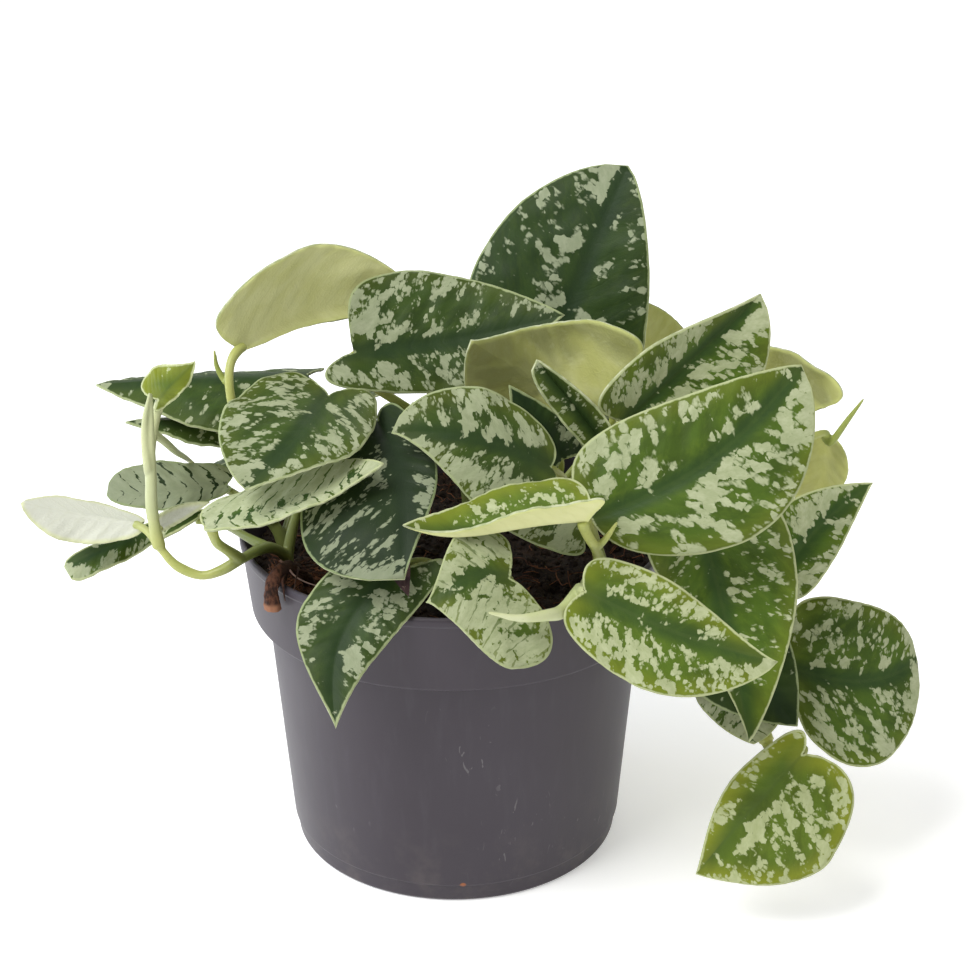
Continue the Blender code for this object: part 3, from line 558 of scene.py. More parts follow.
def fibre_tree():
    """Turns each two-point wire into a fine curled strand: the wire is resampled, shaken and swept."""
    tree, given, sockets = tree_of("coir_strands", Thickness="NodeSocketFloat", Curl="NodeSocketFloat",
                                   Finish="NodeSocketMaterial")
    wire = node(tree, "GeometryNodeMeshToCurve", Mesh=given["Geometry"])
    finer = node(tree, "GeometryNodeResampleCurve", Curve=wire.outputs["Curve"], Count=FIBRE_POINTS)
    shake = noise_of(tree, node(tree, "GeometryNodeInputPosition").outputs[0], 130.0, 1.0, colour=True)
    push = vector_maths(tree, "SUBTRACT", shake, (0.5, 0.5, 0.5))
    push = vector_maths(tree, "SCALE", push, given["Curl"])
    moved = node(tree, "GeometryNodeSetPosition", Geometry=finer.outputs["Curve"], Offset=push)
    ring = node(tree, "GeometryNodeCurvePrimitiveCircle", Resolution=4, Radius=given["Thickness"])
    strand = node(tree, "GeometryNodeCurveToMesh", Curve=moved.outputs["Geometry"],
                  Profile_Curve=ring.outputs["Curve"], Fill_Caps=True)
    end_tree(tree, strand.outputs["Mesh"], given["Finish"])
    return tree, sockets


random = np.random.default_rng(FIBRE_SEED)
wires, ends = [], []
for k in range(FIBRES):
    if k % 3 == 0:
        # A third of the fibres gather at the front left, where the old root comes out.
        x, y = (random.normal(middle, spread) for middle, spread in FIBRE_HEAP)
    else:
        radius, angle = FIBRE_SPREAD * math.sqrt(random.random()), random.random() * 2 * math.pi
        x, y = radius * math.cos(angle), radius * math.sin(angle)
    inward = min(1.0, FIBRE_REACH / math.hypot(x, y))
    x, y = x * inward, y * inward
    heading, length = random.random() * 2 * math.pi, random.uniform(*FIBRE_LENGTHS)
    run = np.array([math.cos(heading), math.sin(heading)]) * length
    far = np.array([x, y]) + run
    if np.linalg.norm(far) > FIBRE_REACH:
        far = np.array([x, y]) - run * 0.6
    lift = random.uniform(*FIBRE_LIFTS)
    for px, py, up in ((x, y, 0.4), (far[0], far[1], lift)):
        radius = math.hypot(px, py)
        wires.append((px * MM, py * MM, (soil_height(radius, math.atan2(py, px)) + up) * MM))
    ends.append((2 * k, 2 * k + 1))
fibre_mesh = bpy.data.meshes.new("coir_fibres")
fibre_mesh.from_pydata(wires, ends, [])
fibres = new_object("coir_fibres", fibre_mesh)
grown(fibres, *fibre_tree(), Thickness=FIBRE_GIRTH * MM, Curl=FIBRE_CURL * MM, Finish=coir_finish)
finish_piece(fibres, "soil")


# The old root: a woody, reddish brown root that leaves the soil at the front left, hangs over the rim
# and ends in a pale orange cut. It has rough bark, and fine rootlets grow round its foot.
ROOT_PATH = [(-38, -31, 80), (-38, -31, 90), (-42.3, -34.6, 97.4), (-45.7, -38.6, 98.3), (-47.6, -41, 94.5),
             (-47.5, -41.4, 88.6)]
ROOT_RADII = [1.3, 1.5, 1.7, 1.8, 1.8, 2.3]
ROOT_SIDES = 28
ROOT_KNOBS = 380.0
ROOT_ROUGH = 0.38
ROOT_CROWN = (-43.8, -35.5, 97.6)
ROOT_CUT = 91.2
BARK_SHADE = (-46.0, -43.0)
ROOTLETS = 26
ROOTLET_SEED = 5
ROOTLET_STEPS = 4
HANGING_ROOTLET = [(-44.0, -38.5, 97.5), (-44.5, -41.0, 97.0), (-44.3, -42.2, 94.6), (-44.0, -42.5, 91.6)]
PALE_ROOTLET = [(-45.5, -36.5, 100.6), (-43.6, -37.6, 99.2), (-41.5, -38.0, 96.6), (-38.6, -38.4, 95.0),
                (-34.5, -38.6, 93.6)]
HANGING_GIRTH = 0.55
ROOTLET_GIRTH = 0.34
PALE_GIRTH = 0.32
ROOTLET_TIP = 0.14
BARK_DARK = (0.022, 0.010, 0.007)
BARK_RED = (0.115, 0.046, 0.026)
BARK_SHADED = (0.028, 0.013, 0.009)
CUT_WOOD = (0.270, 0.125, 0.070)
YOUNG_ROOT = (0.240, 0.130, 0.110)
YOUNG_ROOT_PALE = (0.480, 0.340, 0.300)


def smooth_line(points, pitch, straight_start=False):
    """A smooth line through given points, with a point about every pitch."""
    p = [np.array(point, float) for point in points]
    p = [2 * p[0] - p[1]] + p + [2 * p[-1] - p[-2]]
    line = [p[1]] if straight_start else []
    for i in range(2 if straight_start else 1, len(p) - 2):
        count = max(2, int(round(np.linalg.norm(p[i + 1] - p[i]) / pitch)))
        for k in range(count):
            t = k / count
            line.append(0.5 * (2 * p[i] + (p[i + 1] - p[i - 1]) * t
                               + (2 * p[i - 1] - 5 * p[i] + 4 * p[i + 1] - p[i + 2]) * t ** 2
                               + (3 * p[i] - p[i - 1] - 3 * p[i + 1] + p[i + 2]) * t ** 3))
    line.append(p[-2])
    return line


def sweep_tree():
    """Sweeps a ring along each wire; the wire's own girth at each point sets the ring's size there."""
    tree, given, sockets = tree_of("swept_stem", Sides="NodeSocketInt", Spacing="NodeSocketFloat",
                                   Finish="NodeSocketMaterial")
    wire = node(tree, "GeometryNodeMeshToCurve", Mesh=given["Geometry"])
    soft = node(tree, "GeometryNodeCurveSplineType", Curve=wire.outputs["Curve"], spline_type="CATMULL_ROM")
    even = node(tree, "GeometryNodeResampleCurve", mode="LENGTH", Curve=soft.outputs["Curve"],
                Length=given["Spacing"])
    girth = node(tree, "GeometryNodeInputNamedAttribute", data_type="FLOAT", Name="girth")
    ring = node(tree, "GeometryNodeCurvePrimitiveCircle", Resolution=given["Sides"], Radius=1.0)
    stem = node(tree, "GeometryNodeCurveToMesh", Curve=even.outputs["Curve"], Fill_Caps=True,
                Profile_Curve=ring.outputs["Curve"], Scale=girth.outputs["Attribute"])
    end_tree(tree, stem.outputs["Mesh"], given["Finish"])
    return tree, sockets


SWEEP = sweep_tree()


def swept(name, wires, paint, sides, spacing):
    """One mesh swept along wires, each a list of points and of radii in millimetres."""
    points, edges, girths = [], [], []
    for line, radii in wires:
        first = len(points)
        points += [tuple(float(v) * MM for v in p) for p in line]
        edges += [(first + k, first + k + 1) for k in range(len(line) - 1)]
        girths += [float(r) * MM for r in radii]
    mesh = bpy.data.meshes.new(name)
    mesh.from_pydata(points, edges, [])
    mesh.attributes.new("girth", "FLOAT", "POINT").data.foreach_set("value", girths)
    made = new_object(name, mesh)
    grown(made, *SWEEP, Sides=sides, Spacing=spacing * MM, Finish=paint)
    work = bmesh.new()
    work.from_mesh(made.data)
    bmesh.ops.remove_doubles(work, verts=work.verts, dist=0.000001)
    bmesh.ops.recalc_face_normals(work, faces=work.faces)
    work.to_mesh(made.data)
    work.free()
    return made


def bark():
    """Flaky reddish brown bark, dark over the soil and pale orange where the root was cut."""
    made, tree = new_finish("root_bark", 0.85, 0.25)
    where = object_place(tree)
    x, y, z = parts_of(tree, where)
    flakes = noise_of(tree, vector_maths(tree, "MULTIPLY", where, (1.0, 1.0, 0.45)), 900.0, 5.0, 0.65)
    colour = layered(tree, BARK_DARK, (ramp(tree, flakes, 0.36, 0.64), BARK_RED),
                     (ramp(tree, x, BARK_SHADE[0] * MM, BARK_SHADE[1] * MM, 0.0, 0.8), BARK_SHADED),
                     (ramp(tree, z, ROOT_CUT * MM, (ROOT_CUT - 1.2) * MM), CUT_WOOD))
    return coated(made, colour, flakes, 0.9, 0.5)


line = smooth_line(ROOT_PATH, 1.0, straight_start=True)
radii = np.interp(np.linspace(0, 1, len(line)), np.linspace(0, 1, len(ROOT_RADII)), ROOT_RADII)
root_finish = bark()
root = swept("old_root", [(line, radii)], root_finish, ROOT_SIDES, 0.4)
for vertex in root.data.vertices:
    rough = noise.fractal(vertex.co * ROOT_KNOBS, 0.7, 2.1, 5)
    vertex.co += vertex.normal * rough * ROOT_ROUGH * MM
root.data.shade_smooth()
finish_piece(root, "root_over_rim")

random = np.random.default_rng(ROOTLET_SEED)
hanging = smooth_line(HANGING_ROOTLET, 0.6)
wires = [(hanging, np.linspace(HANGING_GIRTH, ROOTLET_TIP, len(hanging)))]
for k in range(ROOTLETS):
    point = np.array(ROOT_CROWN) + random.normal(0, 1, 3) * (1.6, 1.2, 0.6)
    heading = random.normal(0, 1, 3) * (1.0, 0.8, 0.3)
    line = [point]
    for run in range(ROOTLET_STEPS):
        heading = heading + random.normal(0, 0.7, 3) * (1.0, 1.0, 0.6)
        point = point + heading * random.uniform(0.6, 1.1)
        line.append(point)
    line = smooth_line(line, 0.5)
    wires.append((line, np.linspace(ROOTLET_GIRTH, ROOTLET_TIP, len(line))))
rootlets = swept("rootlets", wires, root_finish, 6, 0.5)
finish_piece(rootlets, "root_over_rim")
line = smooth_line(PALE_ROOTLET, 0.8)
pale_finish = two_tone("pale_rootlet", 0.6, 0.3, 300.0, YOUNG_ROOT, YOUNG_ROOT_PALE, 0.15)
wire = (line, np.linspace(PALE_GIRTH, ROOTLET_TIP, len(line)))
pale = swept("pale_rootlet", [wire], pale_finish, 6, 0.5)
finish_piece(pale, "root_over_rim")


# The blades: leathery, satin leaves. The upper side is green with silver splashes that run along the side
# veins and a thin silver margin; the underside is pale and dull, with the veins showing as ridges.
# base is where the petiole meets the blade and tip is its point. face is the way the upper side looks.
# left and right are the widest reach of each half from the midrib, and lobes is how far each half runs back
# past the base. bow lifts the midrib, sway bends it sideways, fold tilts each half up, open lets the fold
# out towards the tip, curl turns the margins, and swell and taper are the powers that round the outline.
# meet is how far the petiole turns to run along the blade. look gives the share of silver, the size of its
# splashes, how yellow and how dark the green is, and how far the splashes are drawn out along the veins. The
# darkness is partly the leaf's own darker green and partly painted shade on leaves that lie in shadow.
BLADE = dict(left=16, right=16, lobes=(6, 6), bow=3, bow_at=0.5, sway=0, fold=(8, 8), open=0, curl=(-20, -20),
             swell=(0.9, 0.9), taper=(0.95, 0.95), wave=0.6, meet=0.6)
LEAVES = {
    "leaf_left_high": dict(
        base=(-59, 2.5, 146.5), tip=(-7.5, 25, 151.5), face=(-0.22, 0.97, -0.07), left=4.5, right=20.5,
        lobes=(3.5, 10), bow=7.5, sway=-3.5, fold=(-5, -5), curl=(-25, -25), swell=(1.09, 1.17),
        taper=(0.5, 0.86), look=(0.25, 1.0, 0.55, 0.0, 1.0)),
    "leaf_back_heart": dict(
        base=(-27, 2, 145), tip=(30.5, 8.5, 153.5), face=(0, -0.76, 0.65), left=23, right=14, lobes=(2, 14),
        bow=-3.5, sway=-0.5, swell=(0.74, 1.4), taper=(0.94, 1.12), look=(0.44, 0.95, 0.28, 0.66, 1.3)),
    "leaf_top": dict(
        base=(21.5, 27.5, 118.5), tip=(49, 41.5, 186.5), face=(-0.28, -0.85, 0.44), left=31.5, right=26,
        lobes=(5, 5), sway=-0.5, swell=(0.93, 0.52), taper=(0.66, 0.73), look=(0.31, 1.3, 0.1, 0.8, 1.15)),
    "leaf_back_small": dict(
        base=(60, 44, 121), tip=(52, 50, 144), face=(0.1, 0.9, 0.4), left=12, right=13, lobes=(4, 4), bow=2,
        taper=(0.8, 0.8), look=(0.25, 1.0, 0.3, 0.1, 1.0)),
    "leaf_centre_under": dict(
        base=(42.5, -4, 132.5), tip=(5, -10.5, 153), face=(0, 0.99, 0.1), left=23, right=22, lobes=(3.5, 4),
        bow=8, sway=-5.5, swell=(0.92, 0.94), taper=(1.3, 0.69), look=(0.25, 1.0, 0.2, 0.62, 1.0)),
    "leaf_centre_folded": dict(
        base=(40.5, -22, 127.5), tip=(22.2, -24.5, 152.6), face=(0.04, -0.99, 0.1), left=6, right=6,
        lobes=(4, 1.5), bow=-2, fold=(45, 45), swell=(0.45, 0.72), taper=(0.25, 0.9),
        look=(0.36, 0.7, 0.3, 0.5, 1.5)),
    "leaf_centre_shaded": dict(
        base=(29.5, -15, 120.5), tip=(15, -15, 142), face=(0.15, -0.95, 0.25), left=8, right=7, lobes=(3, 4.5),
        bow=2, swell=(0.7, 0.6), look=(0.55, 0.9, 0.0, 0.8, 1.2)),
    "leaf_right_high": dict(
        base=(46, -13, 130.5), tip=(83, 3, 161.5), face=(0.24, -0.81, 0.53), left=14, right=21, lobes=(7, 5),
        bow=0.5, fold=(48, 0), swell=(0.84, 1.01), taper=(1.2, 0.67), look=(0.47, 1.0, 0.3, 0.08, 1.4)),
    "leaf_right_under": dict(
        base=(97.5, 11.5, 123), tip=(71.5, 21, 140), face=(-0.18, 0.94, 0.3), left=15.5, right=14, lobes=(9, 7),
        bow=2, sway=-2.5, swell=(0.93, 0.9), taper=(0.98, 0.95), look=(0.25, 1.0, 0.2, 0.72, 1.0)),
    "leaf_right_large": dict(
        base=(36.5, -41, 114.5), tip=(91, -24, 151), face=(-0.02, -0.86, 0.5), left=21, right=23,
        lobes=(0.5, 3), bow=4.5, sway=-6, swell=(0.76, 1.08), taper=(0.89, 0.58),
        look=(0.4, 1.3, 0.38, 0.22, 1.25)),
    "leaf_front_folded": dict(
        base=(34.6, -59.7, 122.9), tip=(-12, -57.7, 120.6), face=(0, -0.25, 0.98), left=7.4, right=15.5,
        lobes=(8, 3), bow=-4, bow_at=0.7, fold=(88, 20), open=0.15, swell=(0.8, 0.9), taper=(1.5, 0.9),
        meet=0.15, look=(0.33, 0.8, 0.6, 0.0, 1.3)),
    "leaf_centre": dict(
        base=(26, -32, 125.5), tip=(-15.5, -34.5, 136), face=(0.05, -0.8, 0.6), left=21.5, right=13.5,
        lobes=(17, 3), bow=4, sway=-2.5, swell=(0.9, 1.03), taper=(1.4, 0.5),
        look=(0.5, 0.95, 0.45, 0.62, 1.4)),
    "leaf_left_heart": dict(
        base=(-33, -15, 139), tip=(-51.5, -52, 127.5), face=(-0.12, -0.59, 0.8), left=17, right=22.5,
        lobes=(11, 8), bow=4, sway=3, swell=(1.29, 1.05), taper=(1.11, 0.74),
        look=(0.42, 0.95, 0.35, 0.56, 1.3)),
    "leaf_left_front": dict(
        base=(-63.5, -45.5, 114.5), tip=(-17, -44, 131.5), face=(0, -0.21, 0.98), left=14.5, right=4.5,
        lobes=(4, 2.5), bow=-1, sway=-2, swell=(1.17, 1.06), taper=(0.83, 0.79), meet=0.2,
        look=(0.82, 0.9, 0.2, 0.15, 1.1)),
    "leaf_centre_hanging": dict(
        base=(-20, -18, 133), tip=(-11.5, -63, 108), face=(-0.05, -0.86, 0.51), left=10, right=28, lobes=(9, 5),
        bow=2.5, sway=4, swell=(1.4, 1.38), taper=(1.4, 0.54), look=(0.35, 0.9, 0.1, 1.0, 1.5)),
    "leaf_front_left": dict(
        base=(-16, -52.5, 105), tip=(-28.5, -82, 76), face=(-0.18, -0.89, 0.42), left=13, right=14,
        lobes=(10.5, 6.5), bow=-2, bow_at=0.4, sway=-6.5, swell=(0.7, 1.09), taper=(1.06, 1.3),
        look=(0.42, 1.0, 0.12, 0.68, 1.2)),
    "leaf_front_centre": dict(
        base=(15, -59.5, 106.5), tip=(-6, -68, 104), face=(-0.16, -0.8, 0.58), left=25, right=14, lobes=(8, 5),
        bow=2, sway=-2.5, swell=(1.4, 1.05), taper=(1.36, 1.4), look=(0.62, 0.9, 0.5, 0.35, 1.0)),
    "leaf_front_right": dict(
        base=(34, -61.5, 104), tip=(83, -67.5, 87), face=(0.04, -0.87, 0.5), left=12, right=16.5,
        lobes=(5.5, 7), bow=1, sway=-2, swell=(1.24, 1.03), taper=(1.38, 0.73),
        look=(0.45, 0.8, 0.52, 0.04, 1.15)),
    "leaf_right_hanging": dict(
        base=(66, -34, 109), tip=(78.5, -56, 56.5), face=(-0.16, -0.92, 0.35), left=22, right=16, lobes=(6, 4),
        bow=-5, sway=0.5, swell=(0.5, 0.5), taper=(0.84, 1.4), look=(0.29, 1.0, 0.3, 0.0, 1.3)),
    "leaf_right_side": dict(
        base=(89, -12, 81), tip=(116.5, -2, 108), face=(0.18, -0.84, 0.52), left=11.5, right=10, lobes=(4, 1.5),
        bow=2, sway=2.5, swell=(1.03, 0.87), taper=(0.92, 1.08), look=(0.47, 0.9, 0.2, 0.02, 1.3)),
    "leaf_right_small": dict(
        base=(105, 11.5, 117.5), tip=(98, 15, 90), face=(0.22, 0.93, 0.31), left=6.5, right=7.5, lobes=(0, 0),
        bow=-0.5, sway=-2.5, swell=(1.01, 1.07), taper=(0.92, 0.86), look=(0.2, 1.0, 0.3, 0.45, 1.0)),
    "leaf_right_round": dict(
        base=(93.5, -23, 61), tip=(131, -12, 57), face=(0.19, -0.76, 0.63), left=24, right=24, lobes=(0, 2),
        bow=4, sway=-5.5, swell=(0.59, 0.64), taper=(0.5, 0.5), look=(0.42, 1.0, 0.3, 0.2, 1.3)),
    "leaf_right_inner": dict(
        base=(69, -24, 77), tip=(94, -38, 51), face=(0, -0.9, 0.4), left=15, right=15, lobes=(4, 4), bow=2,
        look=(0.2, 0.8, 0.1, 0.8, 1.0)),
    "leaf_right_shaded": dict(
        base=(77, -18, 66), tip=(83, -34, 43), face=(-0.3, -0.9, 0.3), left=14, right=13, lobes=(4, 4), bow=2,
        taper=(0.6, 0.85), look=(0.7, 0.8, 0.1, 0.15, 1.2)),
    "leaf_right_lowest": dict(
        base=(93.5, -52, 50.5), tip=(65.5, -60, 18), face=(0.03, -0.89, 0.46), left=25, right=9.5,
        lobes=(7.5, 8.5), bow=1.5, sway=-0.5, swell=(1.29, 1.37), taper=(0.94, 1.18),
        look=(0.42, 0.95, 0.85, 0.08, 1.15)),
    "leaf_far_left_rolled": dict(
        base=(-85, -18.5, 103), tip=(-116.5, -20.5, 110), face=(-0.06, 0.99, -0.14), left=11, right=8,
        lobes=(3, 3), bow=2, sway=-1, fold=(95, 0), swell=(1.02, 1.4), taper=(0.5, 0.68),
        look=(0.15, 0.8, 1.0, 0.0, 1.0)),
    "leaf_far_left_low": dict(
        base=(-71.5, -1, 97.5), tip=(-109, -8.5, 85), face=(0, -0.51, 0.86), left=7, right=3, lobes=(1, 6.5),
        bow=2, swell=(1.3, 0.95), taper=(0.25, 0.32), look=(0.48, 0.85, 0.15, 0.1, 1.6)),
    "leaf_left_pale": dict(
        base=(-81, -20, 102.5), tip=(-66.5, -14, 107.5), face=(-0.2, 0.97, 0.1), left=2.5, right=3,
        lobes=(1, 1), bow=1, wave=0.1, look=(0.1, 0.8, 1.0, 0.0, 1.0)),
    "leaf_left_silver": dict(
        base=(-64.5, 6, 104), tip=(-97, -1, 103.5), face=(0, -0.57, 0.82), left=5, right=11, lobes=(3.5, 5),
        sway=3, swell=(0.9, 1.19), taper=(0.51, 0.5), look=(1.05, 0.9, 0.1, 0.95, 1.3)),
    "leaf_left_long": dict(
        base=(-41.5, 20, 132), tip=(-101, 16, 130), face=(0, -0.1, 1), left=20.5, right=17.5, lobes=(5, 9),
        bow=2, sway=3, fold=(-22, -14), swell=(0.63, 1), taper=(0.94, 0.8), look=(0.25, 1.2, 0.2, 0.6, 1.3)),
    "leaf_left_under": dict(
        base=(-52, 14, 116), tip=(-92, 8, 122), face=(0, -0.1, 1), left=8, right=10, lobes=(4, 4), bow=2,
        fold=(-25, -14), look=(0.3, 0.8, 0.2, 0.7, 1.0)),
    "leaf_left_new": dict(
        base=(-78, -18, 139), tip=(-67.5, -18.5, 150), face=(0.01, -0.88, 0.48), left=7.8, right=3.5,
        lobes=(4, 5), sway=-0.5, fold=(-10, -8), swell=(1.2, 1.3), taper=(1.4, 0.77),
        look=(0.1, 0.6, 0.75, 0.0, 1.0)),
    "leaf_scrap_dry": dict(
        base=(-12.2, -55.3, 109.8), tip=(-10.7, -59, 101.2), face=(0.1, -0.95, 0.35), left=1.6, right=4,
        lobes=(0.5, 0.8), bow=0.3, fold=(10, 15), swell=(0.4, 0.5), wave=0.2, meet=0.1,
        look=(0.0, 1.0, 0.0, 1.0, 1.0)),
    "leaf_rear_left": dict(
        base=(-30, 50, 112), tip=(-48, 92, 88), face=(-0.3, 0.5, 0.8), left=17, right=17, lobes=(7, 7), bow=4,
        look=(0.35, 1.1, 0.5, 0.6, 1.4)),
    "leaf_rear_centre": dict(
        base=(2, 56, 108), tip=(8, 98, 80), face=(0.1, 0.6, 0.8), left=18, right=17, lobes=(7, 7), bow=4,
        look=(0.3, 0.9, 0.3, 0.4, 1.0)),
    "leaf_rear_right": dict(
        base=(36, 52, 112), tip=(62, 84, 92), face=(0.3, 0.5, 0.8), left=17, right=16, lobes=(7, 7), bow=4,
        look=(0.35, 1.0, 0.4, 0.5, 1.0)),
    "leaf_rear_top": dict(
        base=(-12, 44, 128), tip=(-24, 78, 132), face=(-0.1, 0.2, 0.95), left=15, right=15, bow=4,
        look=(0.45, 1.1, 0.5, 0.6, 1.2)),
    "leaf_rear_hanging": dict(
        base=(18, 70, 86), tip=(26, 90, 44), face=(0.1, 0.9, 0.3), bow=4, look=(0.35, 0.8, 0.2, 0.3, 1.2)),
    "leaf_rear_hanging_left": dict(
        base=(-26, 72, 82), tip=(-34, 88, 46), face=(-0.2, 0.9, 0.3), left=13, right=13, lobes=(5, 5),
        look=(0.45, 1.0, 0.4, 0.5, 1.2)),
    "leaf_rear_side_right": dict(
        base=(62, 42, 98), tip=(90, 64, 72), face=(0.5, 0.5, 0.6), left=15, right=14, lobes=(5, 5), bow=4,
        look=(0.4, 1.0, 0.4, 0.5, 1.0)),
    "leaf_rear_side_left": dict(
        base=(-58, 36, 98), tip=(-86, 60, 78), face=(-0.5, 0.4, 0.7), left=15, right=14, lobes=(5, 5), bow=4,
        look=(0.4, 1.1, 0.5, 0.6, 1.4)),
}
ROWS = 60
COLUMNS = 14
BLADE_THICK = 0.62
EDGE_POWER = 1.6
RIB_POWER = 2.1
VEIN_SLOPE = 0.62
VEIN_BEND = 0.012
VEIN_SPACING = 4.4
VEINS = 8.5
VEIN_WANDER = 7.0
CELL_SHAKE = 0.9
SPLASH_CELL = 1.7
SPLASH_SPREAD = (4.0, 6.4, 3.0)
SPECK_CELL = 1.2
SPECK_SPREAD = (1.9, 2.8, 2.0)
LEVEL_BARE = 0.660
LEVEL_SILVER = 0.270
GROOVE = 0.12
PILLOW = 0.10
RUMPLE = 0.55
CHANNEL = 0.30
DEEP_GREEN = (0.034, 0.072, 0.010)
LEAF_GREEN = (0.060, 0.120, 0.014)
FRESH_GREEN = (0.095, 0.160, 0.018)
YELLOW_GREEN = (0.230, 0.260, 0.022)
MIDRIB_GREEN = (0.022, 0.053, 0.017)
MIDRIB_LINE = (0.070, 0.105, 0.030)
SHADED_GREEN = (0.011, 0.021, 0.009)
SILVER = (0.350, 0.390, 0.230)
SILVER_PALE = (0.480, 0.510, 0.335)
SILVER_FLECK = (0.230, 0.280, 0.130)
SILVER_YELLOW = (0.400, 0.440, 0.150)
SILVER_SHADED = (0.180, 0.210, 0.135)
RIM_PALE = (0.460, 0.500, 0.260)
RIM_SHADED = (0.210, 0.260, 0.120)
MARGIN = (0.330, 0.375, 0.180)
MARGIN_PALE = (0.470, 0.500, 0.300)
UNDER = (0.600, 0.610, 0.220)
UNDER_PALE = (0.700, 0.710, 0.330)
UNDER_CREAM = (0.660, 0.660, 0.360)
UNDER_NEWEST = (0.590, 0.600, 0.510)
UNDER_SHADED = (0.120, 0.130, 0.035)
DARKEST_SHADE = 0.68
UNDER_SPLASH = (0.620, 0.640, 0.420)
UNDER_VEIN = (0.300, 0.320, 0.110)
UNDER_EDGE = (0.600, 0.640, 0.220)
DRY_BROWN = (0.030, 0.016, 0.018)
DRY_PURPLE = (0.080, 0.044, 0.044)
DRY_FIBRE = (0.260, 0.190, 0.160)


def unit(vector):
    vector = np.asarray(vector, float)
    return vector / np.linalg.norm(vector)


def blade_axes(leaf):
    """A blade's own directions: along the midrib, out to its left side and up from its face."""
    base, tip = np.array(leaf["base"], float), np.array(leaf["tip"], float)
    ahead = unit(tip - base)
    face = np.array(leaf["face"], float)
    face = unit(face - (face @ ahead) * ahead)
    return base, ahead, np.cross(face, ahead), face, float(np.linalg.norm(tip - base))


def half_blade(leaf, side, seed):
    """One half: its points, and for each its place along its vein, across the blade and from the margin."""
    base, ahead, left, face, length = blade_axes(leaf)
    which = 0 if side > 0 else 1
    half = leaf["left"] if side > 0 else leaf["right"]
    lobe, swell, taper = leaf["lobes"][which], leaf["swell"][which], leaf["taper"][which]
    t = np.linspace(0, 1, ROWS + 1)
    edge = length * t ** EDGE_POWER - np.where(t < 0.5, lobe * np.sin(2 * math.pi * t), 0)
    peak = swell / (swell + taper)
    out = half * t ** swell * (1 - t) ** taper / (peak ** swell * (1 - peak) ** taper)
    rib = length * t ** RIB_POWER
    share = np.linspace(0, 1, COLUMNS + 1)
    x = rib[:, None] + (edge - rib)[:, None] * share
    y = out[:, None] * share
    place = x / length
    inner = np.clip(place, 0, 1)
    rise = math.log(0.5) / math.log(leaf["bow_at"])
    behind = math.pi * place * 0.6
    lift = leaf["bow"] * np.where(place > 0, np.sin(math.pi * inner ** rise), behind)
    sway = leaf["sway"] * np.where(place > 0, np.sin(math.pi * inner), behind)
    start = np.radians(leaf["fold"][which] * (1 - leaf["open"] * inner))
    turn = math.radians(leaf["curl"][which])
    end = start + turn * y / half
    outward = half * (np.sin(end) - np.sin(start)) / turn
    up = half * (np.cos(start) - np.cos(end)) / turn
    ripple = leaf["wave"] * (y / half) ** 2 * np.sin(2 * math.pi * (2.5 * place + (0.37 if side > 0 else 0)))
    vein = x - VEIN_SLOPE * y - VEIN_BEND * y ** 2
    spacing = length / VEINS
    groove = np.cos(math.pi * vein / spacing) ** 24 * np.clip(y / 3, 0, 1)
    pillow = np.cos(2 * math.pi * vein / spacing) * np.clip(y / 5, 0, 1)
    small = np.vectorize(lambda a, b: noise.noise(Vector((a * 0.16, b * 0.16, seed * 3.1))))(x, side * y)
    channel = np.exp(-(y / 1.1) ** 2) * np.clip(1.1 - place, 0, 1)
    relief = RUMPLE * small * np.clip(y / 8, 0, 1) - GROOVE * groove - PILLOW * pillow - CHANNEL * channel
    points = (base + x[..., None] * ahead + (side * outward + sway)[..., None] * left
              + (lift + up + ripple + relief)[..., None] * face)
    rim = np.stack([edge, out], axis=1)
    apart = np.sqrt((x[..., None] - rim[:, 0]) ** 2 + (y[..., None] - rim[:, 1]) ** 2).min(-1)
    return points, vein, y, apart, inner


def make_blade(name, paints):
    """The blade as an open surface that Solidify gives its upper side, its underside and its margin."""
    leaf = {**BLADE, **LEAVES[name]}
    seed = float(list(LEAVES).index(name) + 1)
    halves = [half_blade(leaf, side, seed) for side in (-1, 1)]
    points, on_leaf, at_edge = [], [], []
    index = np.zeros((ROWS + 1, 2 * COLUMNS + 1), int)
    for k in range(ROWS + 1):
        for column in range(-COLUMNS, COLUMNS + 1):
            if k in (0, ROWS) and column > -COLUMNS:
                index[k, column + COLUMNS] = index[k, 0]
                continue
            place, vein, y, apart, along = halves[1 if column >= 0 else 0]
            c = 0 if k in (0, ROWS) else abs(column)
            side = 1 if column >= 0 else -1
            points.append(tuple(place[k, c] * MM))
            on_leaf.append((vein[k, c], side * y[k, c], seed * 17.3))
            at_edge.append((apart[k, c], along[k, c], leaf["look"][-1]))
            index[k, column + COLUMNS] = len(points) - 1
    faces = []
    for k in range(ROWS):
        for column in range(2 * COLUMNS):
            face = [index[k, column], index[k + 1, column], index[k + 1, column + 1], index[k, column + 1]]
            kept = [int(v) for j, v in enumerate(face) if v != face[j - 1]]
            if len(kept) > 2:
                faces.append(kept)
    mesh = bpy.data.meshes.new(name + "_blade")
    mesh.from_pydata(points, [], faces)
    for title, values in (("on_leaf", on_leaf), ("at_edge", at_edge)):
        layer = mesh.attributes.new(title, "FLOAT_VECTOR", "POINT")
        layer.data.foreach_set("vector", np.array(values, float).ravel())
    layer = mesh.attributes.new("leaf_look", "FLOAT_COLOR", "POINT")
    layer.data.foreach_set("color", np.tile(leaf["look"][:4], len(points)))
    blade = new_object(name + "_blade", mesh)
    for paint in paints:
        mesh.materials.append(paint)
    mesh.shade_smooth()
    wall = blade.modifiers.new("thickness", "SOLIDIFY")
    wall.thickness = BLADE_THICK * MM
    wall.offset = 0
    wall.material_offset = 1
    wall.material_offset_rim = 2
    return blade


